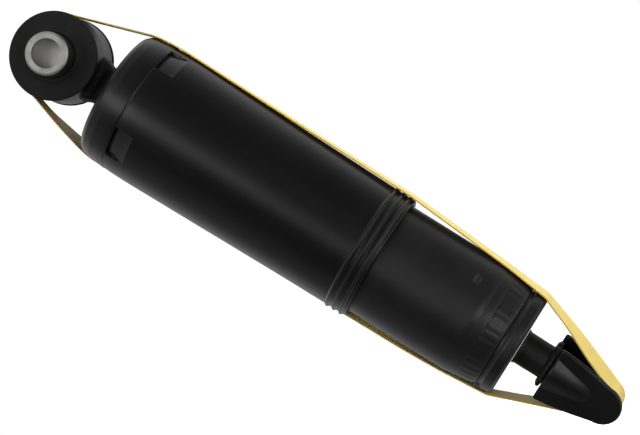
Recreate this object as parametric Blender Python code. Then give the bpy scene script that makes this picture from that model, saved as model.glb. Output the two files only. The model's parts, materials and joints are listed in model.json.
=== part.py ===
"""Twin-tube telescopic rear shock absorber, compressed and held by a shipping strap.

The shock stands upright. Z is its axis, with the bushed eye at the top, and the
origin is the centre of the cross pin in the lower fork. The eye's bore runs
along Y. The fork is turned about Z by FORK_TURN relative to the eye.
Every dimension below is in millimetres; add_object() converts each mesh to metres.
"""

import math

import bmesh
import bpy
from mathutils import Matrix, Vector

# ---------------------------------------------------------------- dimensions
GAP = 0.3  # clearance kept between touching pieces

# upper eye
EYE_Z = 269.2
EYE_R = 18.5
EYE_BORE_R = 15.8
EYE_HALF = 15.2
LIP_HALF = 17.0
SLEEVE_R = 9.2
SLEEVE_BORE_R = 6.0
SLEEVE_HALF = 28.5

# dust tube
DUST_TOP = 241.7
DUST_OPEN = 109.0
DUST_WALL = 1.9
DUST_HOLE_R = 10.6
BAND_TOP = 228.7
BAND_LOW = 219.7
BAND_DEPTH = 0.6
POCKET_ANGLE = 54.2  # first clip pocket, from -Y towards +X
POCKET_HALF = 15.0  # half the angle that a pocket spans
POCKET_DEPTH = 1.35
BEAD_PITCH = 3.3
BEAD_R = 0.85

# rod and its fittings
ROD_R = 5.5
ROD_TOP = 250.0
ROD_SHOULDER = 92.3
SPIGOT_R = 4.0

# cylinder
RES_R = 25.5
RES_WALL = 1.8
RES_LOW = 48.3
RES_TOP = 229.0
TUBE_R = 15.0
TUBE_BORE_R = 13.5
FLANGE_R = 23.6
FLANGE_LOW = 40.9
FLANGE_TOP = 46.7

# lower mount
STEM_R = 7.1
STEM_LOW = 20.0
FORK_TURN = -20.0
FORK_BASE = 25.6
FORK_HALF = 11.9
FORK_TIP_R = 8.5
PLATE_IN = 6.2
PLATE_T = 2.7
DART_HEIGHT = 2.2
DART_HALF = 6.9
DART_END = 4.4
PIN_R = 6.8

# strap
STRAP_W = 11.6
STRAP_T = 0.7


# ---------------------------------------------------------------- scene reset
for old in list(bpy.data.objects):
    bpy.data.objects.remove(old, do_unlink=True)


# ---------------------------------------------------------------- materials
def material(name, colour, roughness, metallic):
    made = bpy.data.materials.new(name)
    made.use_nodes = True
    shader = made.node_tree.nodes["Principled BSDF"]
    shader.inputs["Base Color"].default_value = (*colour, 1.0)
    shader.inputs["Roughness"].default_value = roughness
    shader.inputs["Metallic"].default_value = metallic
    made.diffuse_color = (*colour, 1.0)
    return made


BLACK_PAINT = material("black_paint", (0.018, 0.018, 0.019), 0.45, 0.0)
DUST_PLASTIC = material("dust_tube_plastic", (0.022, 0.022, 0.024), 0.5, 0.0)
EYE_RUBBER = material("bush_rubber", (0.035, 0.034, 0.033), 0.8, 0.0)
ZINC = material("zinc_steel", (0.72, 0.72, 0.70), 0.35, 1.0)
CHROME = material("chromed_rod", (0.78, 0.79, 0.80), 0.12, 1.0)
BARE_STEEL = material("bare_steel", (0.50, 0.50, 0.50), 0.4, 1.0)
SPRING_STEEL = material("spring_steel", (0.42, 0.44, 0.48), 0.3, 1.0)
SINTERED = material("sintered_iron", (0.24, 0.24, 0.25), 0.65, 1.0)
BAND_PLASTIC = material("band_plastic", (0.16, 0.10, 0.06), 0.5, 0.0)
BUSH_BRONZE = material("guide_bronze", (0.55, 0.38, 0.20), 0.4, 1.0)
SEAL_RUBBER = material("seal_rubber", (0.03, 0.03, 0.035), 0.6, 0.0)
STRAP_YELLOW = material("strap_plastic", (0.72, 0.62, 0.24), 0.4, 0.0)


# ---------------------------------------------------------------- mesh helpers
def add_object(name, bm, finish, parent=None, smooth=True, origin=None):
    """Turns a bmesh in world millimetres into an object, its origin at the given point."""
    bmesh.ops.recalc_face_normals(bm, faces=bm.faces)
    centre = Vector(origin) if origin else Vector((0.0, 0.0, 0.0))
    bmesh.ops.translate(bm, verts=bm.verts, vec=-centre)
    bmesh.ops.scale(bm, verts=bm.verts, vec=(0.001, 0.001, 0.001))
    mesh = bpy.data.meshes.new(name)
    bm.to_mesh(mesh)
    bm.free()
    mesh.materials.append(finish)
    if smooth:
        mesh.shade_smooth()
        mesh.set_sharp_from_angle(angle=math.radians(28))
    made = bpy.data.objects.new(name, mesh)
    bpy.context.scene.collection.objects.link(made)
    made.location = centre / 1000.0
    if parent is not None:
        made.parent = parent
        made.location = made.location - parent.location
    return made


def turned_mesh(profile, steps, along="Z", centre=(0.0, 0.0)):
    """Spins a closed (radius, height) outline about Z, or about Y through centre=(x, z)."""
    bm = bmesh.new()
    verts = [bm.verts.new((max(r, 0.0), 0.0, h)) for r, h in profile]
    edges = [
        bm.edges.new((a, b))
        for a, b in zip(verts, verts[1:] + verts[:1])
        if not (a.co.x < 1e-6 and b.co.x < 1e-6)
    ]
    bmesh.ops.spin(
        bm,
        geom=verts + edges,
        cent=(0.0, 0.0, 0.0),
        axis=(0.0, 0.0, 1.0),
        angle=2.0 * math.pi,
        steps=steps,
        use_merge=True,
    )
    bmesh.ops.remove_doubles(bm, verts=bm.verts, dist=1e-4)
    if along == "Y":
        turn = Matrix.Rotation(math.radians(90.0), 4, "X")
        bmesh.ops.transform(bm, matrix=turn, verts=bm.verts)
        bmesh.ops.translate(bm, verts=bm.verts, vec=(centre[0], 0.0, centre[1]))
    return bm


def ring(r_in, r_out, low, high, bevel=0.0):
    """Outline of a flat ring, its outer edges chamfered."""
    if bevel <= 0.0:
        return [(r_in, low), (r_out, low), (r_out, high), (r_in, high)]
    return [
        (r_in, low),
        (r_out - bevel, low),
        (r_out, low + bevel),
        (r_out, high - bevel),
        (r_out - bevel, high),
        (r_in, high),
    ]


def turned(name, profile, steps, finish, parent=None, **rest):
    origin = rest.pop("origin", None)
    return add_object(name, turned_mesh(profile, steps, **rest), finish, parent, origin=origin)


def helper_cutter(name, bm):
    made = add_object(name, bm, BARE_STEEL, smooth=False)
    made.hide_render = True
    made.display_type = "WIRE"
    return made


def cut(target, cutters):
    for cutter in cutters:
        change = target.modifiers.new("cut_" + cutter.name, "BOOLEAN")
        change.operation = "DIFFERENCE"
        change.solver = "EXACT"
        change.object = cutter


def drilled(name, target, radius, pitch_r, count, low, high, phase=0.0):
    """Drills a ring of axial holes with one joined cutter."""
    bm = bmesh.new()
    for index in range(count):
        turn = 2.0 * math.pi * index / count + phase
        place = Matrix.Translation(
            (pitch_r * math.cos(turn), pitch_r * math.sin(turn), (low + high) / 2.0)
        )
        bmesh.ops.create_cone(
            bm,
            cap_ends=True,
            segments=8,
            radius1=radius,
            radius2=radius,
            depth=high - low,
            matrix=place,
        )
    cut(target, [helper_cutter(name, bm)])


def empty(name, at, parent=None):
    made = bpy.data.objects.new(name, None)
    made.empty_display_size = 0.01
    bpy.context.scene.collection.objects.link(made)
    made.location = Vector(at) / 1000.0
    if parent is not None:
        made.parent = parent
        made.location = made.location - parent.location
    return made


# Empties that carry the moving groups. Each one lies on its joint's axis.
CYLINDER = empty("cylinder_group", (0, 0, 0))
BAND = empty("piston_band_group", (0, 0, 0), CYLINDER)
ROD = empty("rod_group", (0, 0, 0), BAND)


# ---------------------------------------------------------------- dust tube
def dust_radius(z):
    """Outer radius of the dust tube without its band and beads: a rounded top, then a moulding draft."""
    knots = [
        (DUST_OPEN, 28.0),
        (135.5, 28.4),
        (178.0, 29.2),
        (216.0, 29.9),
        (226.0, 29.9),
        (232.0, 29.6),
        (237.0, 29.1),
        (240.2, 28.4),
        (DUST_TOP, 27.2),
    ]
    for (z0, r0), (z1, r1) in zip(knots, knots[1:]):
        if z <= z1:
            return r0 + (r1 - r0) * max(z - z0, 0.0) / (z1 - z0)
    return knots[-1][1]


def dust_profile():
    outer = [(dust_radius(z), z) for z in (DUST_TOP, 240.2, 237.0, 232.0)]
    outer.append((dust_radius(BAND_TOP + 0.3), BAND_TOP + 0.3))
    outer.append((dust_radius(BAND_TOP) - BAND_DEPTH, BAND_TOP))
    outer.append((dust_radius(BAND_LOW + 2.0) - BAND_DEPTH, BAND_LOW + 2.0))
    outer.append((dust_radius(BAND_LOW), BAND_LOW))
    outer += [(dust_radius(z), z) for z in (178.0, 135.5)]
    for index in range(3):
        middle = 118.0 - BEAD_PITCH * index
        for step in range(4):
            turn = math.radians(90.0 - 60.0 * step)
            outer.append(
                (dust_radius(middle) + BEAD_R * math.cos(turn), middle + 1.3 * math.sin(turn))
            )
    outer.append((dust_radius(DUST_OPEN) - 0.2, DUST_OPEN))
    inner = [(26.2, DUST_OPEN)]
    inner += [(dust_radius(z) - DUST_WALL, z) for z in (135.5, 178.0, 216.0, 234.0)]
    inner += [(25.6, DUST_TOP - 2.2), (DUST_HOLE_R, DUST_TOP - 2.2), (DUST_HOLE_R, DUST_TOP)]
    return outer + inner


def pocket_cutter(name, angle):
    """A wedge that is deep at the pocket's upper end and ramps out to the surface at its lower end."""
    bm = bmesh.new()
    base = dust_radius(BAND_TOP) - POCKET_DEPTH
    rows = [
        (base, BAND_TOP - 0.4),
        (base + 0.1, BAND_TOP - 2.4),
        (dust_radius(BAND_LOW) + 0.3, BAND_LOW + 0.4),
        (34.0, BAND_LOW + 0.4),
        (34.0, BAND_TOP - 0.4),
    ]
    columns = 4
    grid = []
    for index in range(columns + 1):
        turn = math.radians(angle + POCKET_HALF * (2.0 * index / columns - 1.0))
        grid.append(
            [bm.verts.new((r * math.sin(turn), -r * math.cos(turn), z)) for r, z in rows]
        )
    for left, right in zip(grid, grid[1:]):
        for step in range(len(rows)):
            after = (step + 1) % len(rows)
            bm.faces.new((left[step], left[after], right[after], right[step]))
    bm.faces.new(grid[0])
    bm.faces.new(list(reversed(grid[-1])))
    return helper_cutter(name, bm)


dust_tube = turned("dust_tube", dust_profile(), 40, DUST_PLASTIC, ROD)
cut(
    dust_tube,
    [pocket_cutter("pocket_%d" % n, POCKET_ANGLE + 90.0 * n) for n in range(4)],
)

# ---------------------------------------------------------------- upper eye
EYE = (0.0, 0.0, EYE_Z)
turned(
    "eye_ring",
    ring(EYE_BORE_R, EYE_R, -EYE_HALF, EYE_HALF),
    40,
    BLACK_PAINT,
    ROD,
    along="Y",
    centre=(0.0, EYE_Z),
)
bush_r = SLEEVE_R + GAP
half_bush = [
    (bush_r, LIP_HALF + 1.4),
    (11.4, LIP_HALF + 1.2),
    (EYE_R - 1.0, LIP_HALF),
    (EYE_R - 0.1, EYE_HALF + GAP),
    (EYE_BORE_R - GAP, EYE_HALF + GAP),
]
bush_outline = half_bush + [(r, -h) for r, h in reversed(half_bush)]
turned(
    "eye_bush",
    bush_outline,
    32,
    EYE_RUBBER,
    ROD,
    along="Y",
    centre=(0.0, EYE_Z),
)
sleeve_pivot = empty("sleeve_pivot", EYE, ROD)
turned(
    "eye_sleeve",
    [
        (SLEEVE_BORE_R, -SLEEVE_HALF),
        (SLEEVE_R - 0.5, -SLEEVE_HALF),
        (SLEEVE_R, -SLEEVE_HALF + 0.5),
        (SLEEVE_R, SLEEVE_HALF - 0.5),
        (SLEEVE_R - 0.5, SLEEVE_HALF),
        (SLEEVE_BORE_R, SLEEVE_HALF),
    ],
    32,
    ZINC,
    sleeve_pivot,
    along="Y",
    centre=(0.0, EYE_Z),
    origin=EYE,
)

# The shank under the ring is hollow for the rod, and its top is saddled to the ring.
weld = turned(
    "eye_weld",
    [
        (ROD_R + GAP, 240.2),
        (8.6, 240.2),
        (8.9, 247.6),
        (10.3, 251.6),
        (10.3, 257.0),
        (ROD_R + GAP, 257.0),
    ],
    24,
    BLACK_PAINT,
    ROD,
)
saddle = bmesh.new()
bmesh.ops.create_cone(
    saddle,
    cap_ends=True,
    segments=48,
    radius1=EYE_R + GAP,
    radius2=EYE_R + GAP,
    depth=50.0,
    matrix=Matrix.Translation(EYE) @ Matrix.Rotation(math.radians(90.0), 4, "X"),
)
cut(weld, [helper_cutter("eye_saddle", saddle)])

# ---------------------------------------------------------------- rod group
turned(
    "top_cap",
    [
        (ROD_R + GAP, 239.2),
        (ROD_R + GAP, 236.8),
        (24.4, 236.8),
        (24.8, 230.4),
        (26.4, 230.4),
        (26.6, 236.4),
        (25.2, 239.2),
    ],
    32,
    BARE_STEEL,
    ROD,
)
turned(
    "piston_rod",
    [
        (0.0, 74.0),
        (3.4, 74.0),
        (SPIGOT_R, 74.6),
        (SPIGOT_R, ROD_SHOULDER),
        (ROD_R, ROD_SHOULDER),
        (ROD_R, ROD_TOP - 0.6),
        (ROD_R - 0.6, ROD_TOP),
        (0.0, ROD_TOP),
    ],
    24,
    CHROME,
    ROD,
)
turned("rebound_stop_ring", ring(ROD_R + GAP, 9.6, 104.4, 107.4), 24, BARE_STEEL, ROD)
turned(
    "rebound_buffer",
    [
        (ROD_R + GAP, 107.7),
        (9.8, 107.7),
        (9.8, 109.6),
        (8.4, 112.0),
        (ROD_R + GAP, 112.0),
    ],
    24,
    SEAL_RUBBER,
    ROD,
)
turned("valve_stop_washer", ring(ROD_R + GAP, 9.6, 96.0, 97.4), 24, BARE_STEEL, ROD)
PISTON_LOW, PISTON_HIGH = 82.0, 92.0
piston = turned(
    "piston",
    [
        (SPIGOT_R + GAP, PISTON_LOW),
        (12.1, PISTON_LOW),
        (12.9, PISTON_LOW + 0.8),
        (12.9, 84.4),
        (11.5, 84.4),
        (11.5, 89.6),
        (12.9, 89.6),
        (12.9, PISTON_HIGH - 0.8),
        (12.2, PISTON_HIGH),
        (SPIGOT_R + GAP, PISTON_HIGH),
    ],
    32,
    SINTERED,
    ROD,
)
drilled("piston_ports", piston, 1.2, 7.9, 6, PISTON_LOW - 2.0, PISTON_HIGH + 2.0)
turned("rebound_valve_discs", ring(SPIGOT_R + GAP, 9.4, 80.1, 81.7), 24, SPRING_STEEL, ROD)

nut = bmesh.new()
bmesh.ops.create_cone(
    nut,
    cap_ends=True,
    segments=6,
    radius1=7.5,
    radius2=7.5,
    depth=5.0,
    matrix=Matrix.Translation((0.0, 0.0, 77.2)),
)
nut_object = add_object("piston_nut", nut, BARE_STEEL, ROD, smooth=False)
nut_bore = bmesh.new()
bmesh.ops.create_cone(
    nut_bore,
    cap_ends=True,
    segments=18,
    radius1=SPIGOT_R + GAP,
    radius2=SPIGOT_R + GAP,
    depth=9.0,
    matrix=Matrix.Translation((0.0, 0.0, 77.2)),
)
cut(nut_object, [helper_cutter("nut_bore", nut_bore)])

# Band in the piston's groove: it slides with the rod and the rod turns inside it.
turned("piston_band", ring(11.8, 13.2, 84.7, 89.3), 32, BAND_PLASTIC, BAND)

# Intake plate over the piston's ports, with its star spring below the stop washer.
turned(
    "piston_check_plate",
    ring(ROD_R + GAP, 10.6, 92.3, 93.1),
    24,
    SPRING_STEEL,
    empty("piston_check_group", (0, 0, 92.3), ROD),
    origin=(0.0, 0.0, 92.3),
)


def star_spring(name, r_in, r_mid, r_out, low, high, thick, parent):
    """A weak spring washer: a flat hub whose outer rim is waved down onto the plate."""
    bm = bmesh.new()
    steps = 24
    rows = [(r_in, 0.0), (r_mid, 0.0), (r_out, 1.0)]
    top, bottom = [], []
    for index in range(steps):
        turn = 2.0 * math.pi * index / steps
        wave = 0.5 + 0.5 * math.cos(3.0 * turn)
        for store, drop in ((top, 0.0), (bottom, thick)):
            store.append(
                [
                    bm.verts.new(
                        (
                            r * math.cos(turn),
                            r * math.sin(turn),
                            high - drop - lift * wave * (high - low - thick),
                        )
                    )
                    for r, lift in rows
                ]
            )
    last = len(rows) - 1
    for index in range(steps):
        after = (index + 1) % steps
        for step in range(last):
            bm.faces.new(
                (top[index][step], top[index][step + 1], top[after][step + 1], top[after][step])
            )
            bm.faces.new(
                (
                    bottom[index][step],
                    bottom[after][step],
                    bottom[after][step + 1],
                    bottom[index][step + 1],
                )
            )
        for edge in (0, last):
            bm.faces.new((top[index][edge], top[after][edge], bottom[after][edge], bottom[index][edge]))
    return add_object(name, bm, SPRING_STEEL, parent)


star_spring("piston_check_spring", ROD_R + GAP, 7.4, 9.4, 93.4, 95.7, 0.4, ROD)


# ---------------------------------------------------------------- cylinder group
def reservoir_radius(z):
    """Outer radius of the reservoir: straight, then pressed in towards the base."""
    knots = [
        (RES_LOW, 22.8),
        (52.1, 24.1),
        (56.2, 24.7),
        (60.3, 25.1),
        (63.2, RES_R),
        (RES_TOP, RES_R),
    ]
    for (z0, r0), (z1, r1) in zip(knots, knots[1:]):
        if z <= z1:
            return r0 + (r1 - r0) * max(z - z0, 0.0) / (z1 - z0)
    return RES_R


low_part = [(reservoir_radius(z), z) for z in (RES_LOW, 52.1, 56.2, 60.3, 63.2)]
turned(
    "reservoir_tube",
    low_part
    + [(RES_R, RES_TOP - 1.6), (RES_R - 1.2, RES_TOP), (20.0, RES_TOP), (20.0, RES_TOP - 1.8)]
    + [(RES_R - RES_WALL, RES_TOP - 1.8), (RES_R - RES_WALL, 63.2)]
    + [(r - RES_WALL, z) for r, z in (low_part[2], low_part[0])],
    40,
    BLACK_PAINT,
    CYLINDER,
)
turned("pressure_tube", ring(TUBE_BORE_R, TUBE_R, 56.3, 213.8), 32, BARE_STEEL, CYLINDER)
turned(
    "rod_guide",
    [
        (7.4, 208.0),
        (TUBE_BORE_R - GAP, 208.0),
        (TUBE_BORE_R - GAP, 214.1),
        (RES_R - RES_WALL - GAP, 214.1),
        (RES_R - RES_WALL - GAP, 220.0),
        (7.4, 220.0),
    ],
    32,
    SINTERED,
    CYLINDER,
)
turned("guide_bush", ring(ROD_R + GAP, 7.1, 208.3, 219.7), 24, BUSH_BRONZE, CYLINDER)
turned(
    "rod_seal",
    [
        (ROD_R + GAP, 221.6),
        (7.6, 220.3),
        (10.0, 221.6),
        (12.0, 220.3),
        (RES_R - RES_WALL - GAP, 220.3),
        (RES_R - RES_WALL - GAP, 224.9),
        (7.4, 224.9),
        (ROD_R + GAP, 223.6),
    ],
    32,
    SEAL_RUBBER,
    CYLINDER,
)
turned("seal_cover", ring(6.8, RES_R - RES_WALL - GAP, 225.2, 226.9), 32, BARE_STEEL, CYLINDER)
turned(
    "base_cap",
    [
        (0.0, FLANGE_LOW),
        (FLANGE_R - 1.3, FLANGE_LOW),
        (FLANGE_R, FLANGE_LOW + 1.3),
        (FLANGE_R, FLANGE_TOP - 0.5),
        (FLANGE_R - 0.5, FLANGE_TOP),
        (22.4, FLANGE_TOP),
        (22.3, RES_LOW - GAP),
        (20.6, RES_LOW - GAP),
        (20.6, 53.0),
        (0.0, 53.0),
    ],
    40,
    BLACK_PAINT,
    CYLINDER,
)
foot = turned(
    "foot_valve_body",
    [
        (2.3, 57.7),
        (9.6, 57.7),
        (9.6, 53.3),
        (14.8, 53.3),
        (14.8, 56.0),
        (TUBE_BORE_R - GAP, 56.0),
        (TUBE_BORE_R - GAP, 62.7),
        (2.3, 62.7),
    ],
    32,
    SINTERED,
    CYLINDER,
)
drilled("foot_ports", foot, 1.2, 7.4, 6, 55.7, 64.7)
turned("foot_valve_discs", ring(2.3, 8.8, 56.1, 57.4), 24, SPRING_STEEL, CYLINDER)
turned(
    "foot_valve_pin",
    [
        (0.0, 53.4),
        (4.6, 53.4),
        (4.6, 55.8),
        (2.0, 55.8),
        (2.0, 67.1),
        (7.2, 67.1),
        (7.2, 68.3),
        (0.0, 68.3),
    ],
    18,
    BARE_STEEL,
    CYLINDER,
)
turned(
    "foot_check_plate",
    ring(4.6, 11.2, 63.0, 63.8),
    24,
    SPRING_STEEL,
    empty("foot_check_group", (0, 0, 63.0), CYLINDER),
    origin=(0.0, 0.0, 63.0),
)
star_spring("foot_check_spring", 2.4, 6.0, 9.6, 64.1, 66.8, 0.4, CYLINDER)

# ---------------------------------------------------------------- lower mount
turned(
    "stem",
    [
        (0.0, STEM_LOW),
        (5.4, STEM_LOW),
        (STEM_R, STEM_LOW + 2.4),
        (STEM_R, FLANGE_LOW - GAP),
        (0.0, FLANGE_LOW - GAP),
    ],
    32,
    BLACK_PAINT,
    CYLINDER,
)
turned(
    "fork_weld",
    [
        (STEM_R + GAP, 25.9),
        (10.4, 25.9),
        (9.8, 27.1),
        (7.9, 28.3),
        (STEM_R + GAP, 28.3),
    ],
    24,
    BLACK_PAINT,
    CYLINDER,
)


def fork_half_width(z):
    """Half the plate's width at height z: straight sides tangent to a round tip about the pin."""
    lean = (FORK_HALF - FORK_TIP_R) / FORK_BASE
    if z >= 0.0:
        return FORK_TIP_R + lean * z
    return math.sqrt(max(FORK_TIP_R**2 - z * z, 0.0))


def dart(x, z):
    """Height of the half-conical dart above the flat of the plate."""
    along = (z - DART_END) / (FORK_BASE - DART_END)
    if along <= 0.0:
        return 0.0
    half = DART_HALF * (0.42 + 0.58 * along) * min(1.0, (along / 0.16)) ** 0.5
    across = abs(x) / half
    if across >= 1.0:
        return 0.0
    crown = DART_HEIGHT * (0.35 + 0.65 * along) * min(1.0, along / 0.16)
    return crown * (1.0 - across * across) ** 1.25


def fork_plate(name, side):
    """One stamped plate: side -1 is the front one and +1 the rear one."""
    bm = bmesh.new()
    turn = Matrix.Rotation(math.radians(FORK_TURN), 3, "Z")
    heights = [FORK_BASE - (FORK_BASE - DART_END + 1.2) * n / 9.0 for n in range(10)]
    heights += [0.0]
    heights += [-FORK_TIP_R * math.sin(math.radians(90.0 * n / 6.0)) for n in range(1, 6)]
    columns = 14
    faces_of = []
    for depth in (PLATE_IN, PLATE_IN + PLATE_T):
        rows = []
        for z in heights:
            half = fork_half_width(z)
            row = []
            for index in range(columns + 1):
                x = half * (2.0 * index / columns - 1.0)
                y = side * (depth + dart(x, z))
                row.append(bm.verts.new(turn @ Vector((x, y, z))))
            rows.append(row)
        rows.append([bm.verts.new(turn @ Vector((0.0, side * depth, -FORK_TIP_R)))])
        faces_of.append(rows)
    inner, outer = faces_of
    for rows in (inner, outer):
        for upper, lower in zip(rows, rows[1:]):
            for index in range(columns):
                if len(lower) == 1:
                    bm.faces.new((upper[index], upper[index + 1], lower[0]))
                else:
                    bm.faces.new((upper[index], upper[index + 1], lower[index + 1], lower[index]))
    rim_in = inner[0][:] + [row[-1] for row in inner[1:]]
    rim_out = outer[0][:] + [row[-1] for row in outer[1:]]
    rim_in += [row[0] for row in reversed(inner[1:-1])]
    rim_out += [row[0] for row in reversed(outer[1:-1])]
    for index in range(len(rim_in)):
        after = (index + 1) % len(rim_in)
        bm.faces.new((rim_in[index], rim_in[after], rim_out[after], rim_out[index]))
    return add_object(name, bm, BLACK_PAINT, CYLINDER)


fork_plate("fork_plate_front", -1.0)
fork_plate("fork_plate_rear", 1.0)

pin = turned_mesh(
    [
        (0.0, -PLATE_IN + GAP),
        (PIN_R - 0.4, -PLATE_IN + GAP),
        (PIN_R, -PLATE_IN + GAP + 0.4),
        (PIN_R, PLATE_IN - GAP - 0.4),
        (PIN_R - 0.4, PLATE_IN - GAP),
        (0.0, PLATE_IN - GAP),
    ],
    32,
    along="Y",
)
bmesh.ops.rotate(
    pin,
    verts=pin.verts,
    cent=(0.0, 0.0, 0.0),
    matrix=Matrix.Rotation(math.radians(FORK_TURN), 3, "Z"),
)
add_object("fork_pin", pin, BLACK_PAINT, CYLINDER)


# ---------------------------------------------------------------- shipping strap
def hull(points):
    """Convex hull of 2-D points, anticlockwise."""
    ordered = sorted(set(points))

    def half(run):
        kept = []
        for p in run:
            while len(kept) > 1 and (
                (kept[-1][0] - kept[-2][0]) * (p[1] - kept[-2][1])
                - (kept[-1][1] - kept[-2][1]) * (p[0] - kept[-2][0])
                <= 1e-9
            ):
                kept.pop()
            kept.append(p)
        return kept[:-1]

    return half(ordered) + half(ordered[::-1])


def strap_turn(z):
    """How far the strap is turned about the shock's axis: from the eye's bore to the fork's pin."""
    knots = [(6.0, FORK_TURN), (42.0, -8.0), (100.0, -3.0), (200.0, 0.0), (300.0, 0.0)]
    if z <= knots[0][0]:
        return knots[0][1]
    for (z0, a0), (z1, a1) in zip(knots, knots[1:]):
        if z <= z1:
            return a0 + (a1 - a0) * (z - z0) / (z1 - z0)
    return 0.0


def strap_path():
    """The taut loop round everything that the strap bears on, as stations (x, z, normal x, normal z)."""
    touched = []
    for step in range(48):
        turn = 2.0 * math.pi * step / 48
        touched.append(((EYE_R + GAP) * math.cos(turn), EYE_Z + (EYE_R + GAP) * math.sin(turn)))
        touched.append(((PIN_R + GAP) * math.cos(turn), (PIN_R + GAP) * math.sin(turn)))
    bearing = [(dust_radius(z), z) for z in (DUST_TOP, 240.2, 237.0, 232.0, 226.0, 216.0)]
    bearing += [(dust_radius(118.0) + BEAD_R, 118.0), (dust_radius(111.4) + BEAD_R, 111.4)]
    bearing += [(RES_R, 63.2), (FLANGE_R, FLANGE_TOP), (FLANGE_R, FLANGE_LOW + 1.3)]
    bearing += [(FLANGE_R - 1.3, FLANGE_LOW)]
    for r, z in bearing:
        touched += [(r + GAP, z), (-r - GAP, z)]
    corners = hull([(round(x, 5), round(z, 5)) for x, z in touched])
    stations = []
    count = len(corners)
    for index in range(count):
        before, here, after = corners[index - 1], corners[index], corners[(index + 1) % count]
        d0 = Vector((here[0] - before[0], here[1] - before[1])).normalized()
        d1 = Vector((after[0] - here[0], after[1] - here[1])).normalized()
        bend = (Vector((d0.y, -d0.x)) + Vector((d1.y, -d1.x))).normalized()
        stretch = 1.0 / max(bend.dot(Vector((d1.y, -d1.x))), 0.5)
        stations.append((here[0], here[1], bend.x * stretch, bend.y * stretch))
        length = math.dist(here, after)
        pieces = max(1, round(length / 9.0))
        for part in range(1, pieces):
            share = part / pieces
            stations.append(
                (
                    here[0] + (after[0] - here[0]) * share,
                    here[1] + (after[1] - here[1]) * share,
                    d1.y,
                    -d1.x,
                )
            )
    return stations


def strap():
    bm = bmesh.new()
    sections = []
    for x, z, nx, nz in strap_path():
        turn = Matrix.Rotation(math.radians(strap_turn(z)), 3, "Z")
        section = []
        for across, out in ((-1, 0), (1, 0), (1, 1), (-1, 1)):
            point = Vector(
                (x + nx * STRAP_T * out, across * STRAP_W / 2.0, z + nz * STRAP_T * out)
            )
            section.append(bm.verts.new(turn @ point))
        sections.append(section)
    for index, section in enumerate(sections):
        following = sections[(index + 1) % len(sections)]
        for step in range(4):
            after = (step + 1) % 4
            bm.faces.new((section[step], section[after], following[after], following[step]))
    return add_object("shipping_strap", bm, STRAP_YELLOW, CYLINDER)


strap()
bpy.context.view_layer.update()
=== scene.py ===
import json
import math

import bmesh
import bpy
import numpy as np
from mathutils import Matrix, Vector


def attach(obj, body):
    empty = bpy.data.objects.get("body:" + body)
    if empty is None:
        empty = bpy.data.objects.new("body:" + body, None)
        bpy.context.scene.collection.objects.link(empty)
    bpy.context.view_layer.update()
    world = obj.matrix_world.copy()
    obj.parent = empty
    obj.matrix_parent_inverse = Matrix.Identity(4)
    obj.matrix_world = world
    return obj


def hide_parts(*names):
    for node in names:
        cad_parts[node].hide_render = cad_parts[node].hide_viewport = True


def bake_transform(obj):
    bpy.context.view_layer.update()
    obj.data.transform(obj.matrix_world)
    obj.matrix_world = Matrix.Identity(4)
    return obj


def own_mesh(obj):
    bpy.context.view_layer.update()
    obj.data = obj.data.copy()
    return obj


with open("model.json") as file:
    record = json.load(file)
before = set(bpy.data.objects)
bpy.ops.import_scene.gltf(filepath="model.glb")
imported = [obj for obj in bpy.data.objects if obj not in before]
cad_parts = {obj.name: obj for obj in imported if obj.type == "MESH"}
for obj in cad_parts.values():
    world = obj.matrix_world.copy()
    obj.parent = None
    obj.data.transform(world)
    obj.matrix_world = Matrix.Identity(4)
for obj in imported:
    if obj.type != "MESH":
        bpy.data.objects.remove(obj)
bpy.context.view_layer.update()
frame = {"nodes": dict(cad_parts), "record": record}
NODES = frame["nodes"]

# ------------------------------------------------------------------ sizes, in millimetres
EYE_Z = 269.2
EYE_R = 18.5
EYE_BORE_R = 15.8
EYE_HALF = 15.2
LIP_HALF = 17.0
SLEEVE_R = 9.2
SLEEVE_BORE_R = 6.0
SLEEVE_HALF = 28.5
DUST_TOP = 241.7
DUST_OPEN = 109.0
DUST_WALL = 1.9
DUST_HOLE_R = 10.6
BAND_TOP = 228.7
BAND_LOW = 219.7
BAND_DEPTH = 0.16
POCKET_ANGLE = 54.2
POCKET_HALF = 15.0
BEAD_PITCH = 3.3
BEAD_R = 0.85
ROD_R = 5.5
RES_R = 25.5
RES_WALL = 1.8
RES_LOW = 48.3
RES_TOP = 229.0
FLANGE_R = 23.6
FLANGE_LOW = 40.9
FLANGE_TOP = 46.7
STEM_R = 7.1
STEM_LOW = 20.0
FORK_TURN = -20.0
FORK_BASE = 25.6
FORK_HALF = 11.9
FORK_TIP_R = 8.5
PLATE_IN = 6.2
PLATE_T = 2.7
DART_HEIGHT = 2.2
DART_HALF = 6.9
DART_END = 4.4
PIN_R = 6.8
STRAP_W = 11.6
STRAP_T = 0.7
GAP = 0.3
STRAP_GAP = 0.03


# ------------------------------------------------------------------ smooth noise for geometry
def hash_grid(i, j, k, seed):
    n = (i * 374761393 + j * 668265263 + k * 2147483647 + seed * 974634777) & 0xFFFFFFFF
    n = ((n ^ (n >> 13)) * 1274126177) & 0xFFFFFFFF
    return ((n ^ (n >> 16)) & 0xFFFF) / 65535.0


def noise3(p, seed=0):
    """Value noise in -1..1 at points p of shape (..., 3), smooth, one cell per unit."""
    p = np.asarray(p, float)
    base = np.floor(p).astype(np.int64)
    f = p - base
    f = f * f * (3.0 - 2.0 * f)
    total = np.zeros(p.shape[:-1])
    for dx in (0, 1):
        for dy in (0, 1):
            for dz in (0, 1):
                weight = (
                    (f[..., 0] if dx else 1 - f[..., 0])
                    * (f[..., 1] if dy else 1 - f[..., 1])
                    * (f[..., 2] if dz else 1 - f[..., 2])
                )
                total = total + weight * hash_grid(
                    base[..., 0] + dx, base[..., 1] + dy, base[..., 2] + dz, seed
                )
    return total * 2.0 - 1.0


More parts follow.
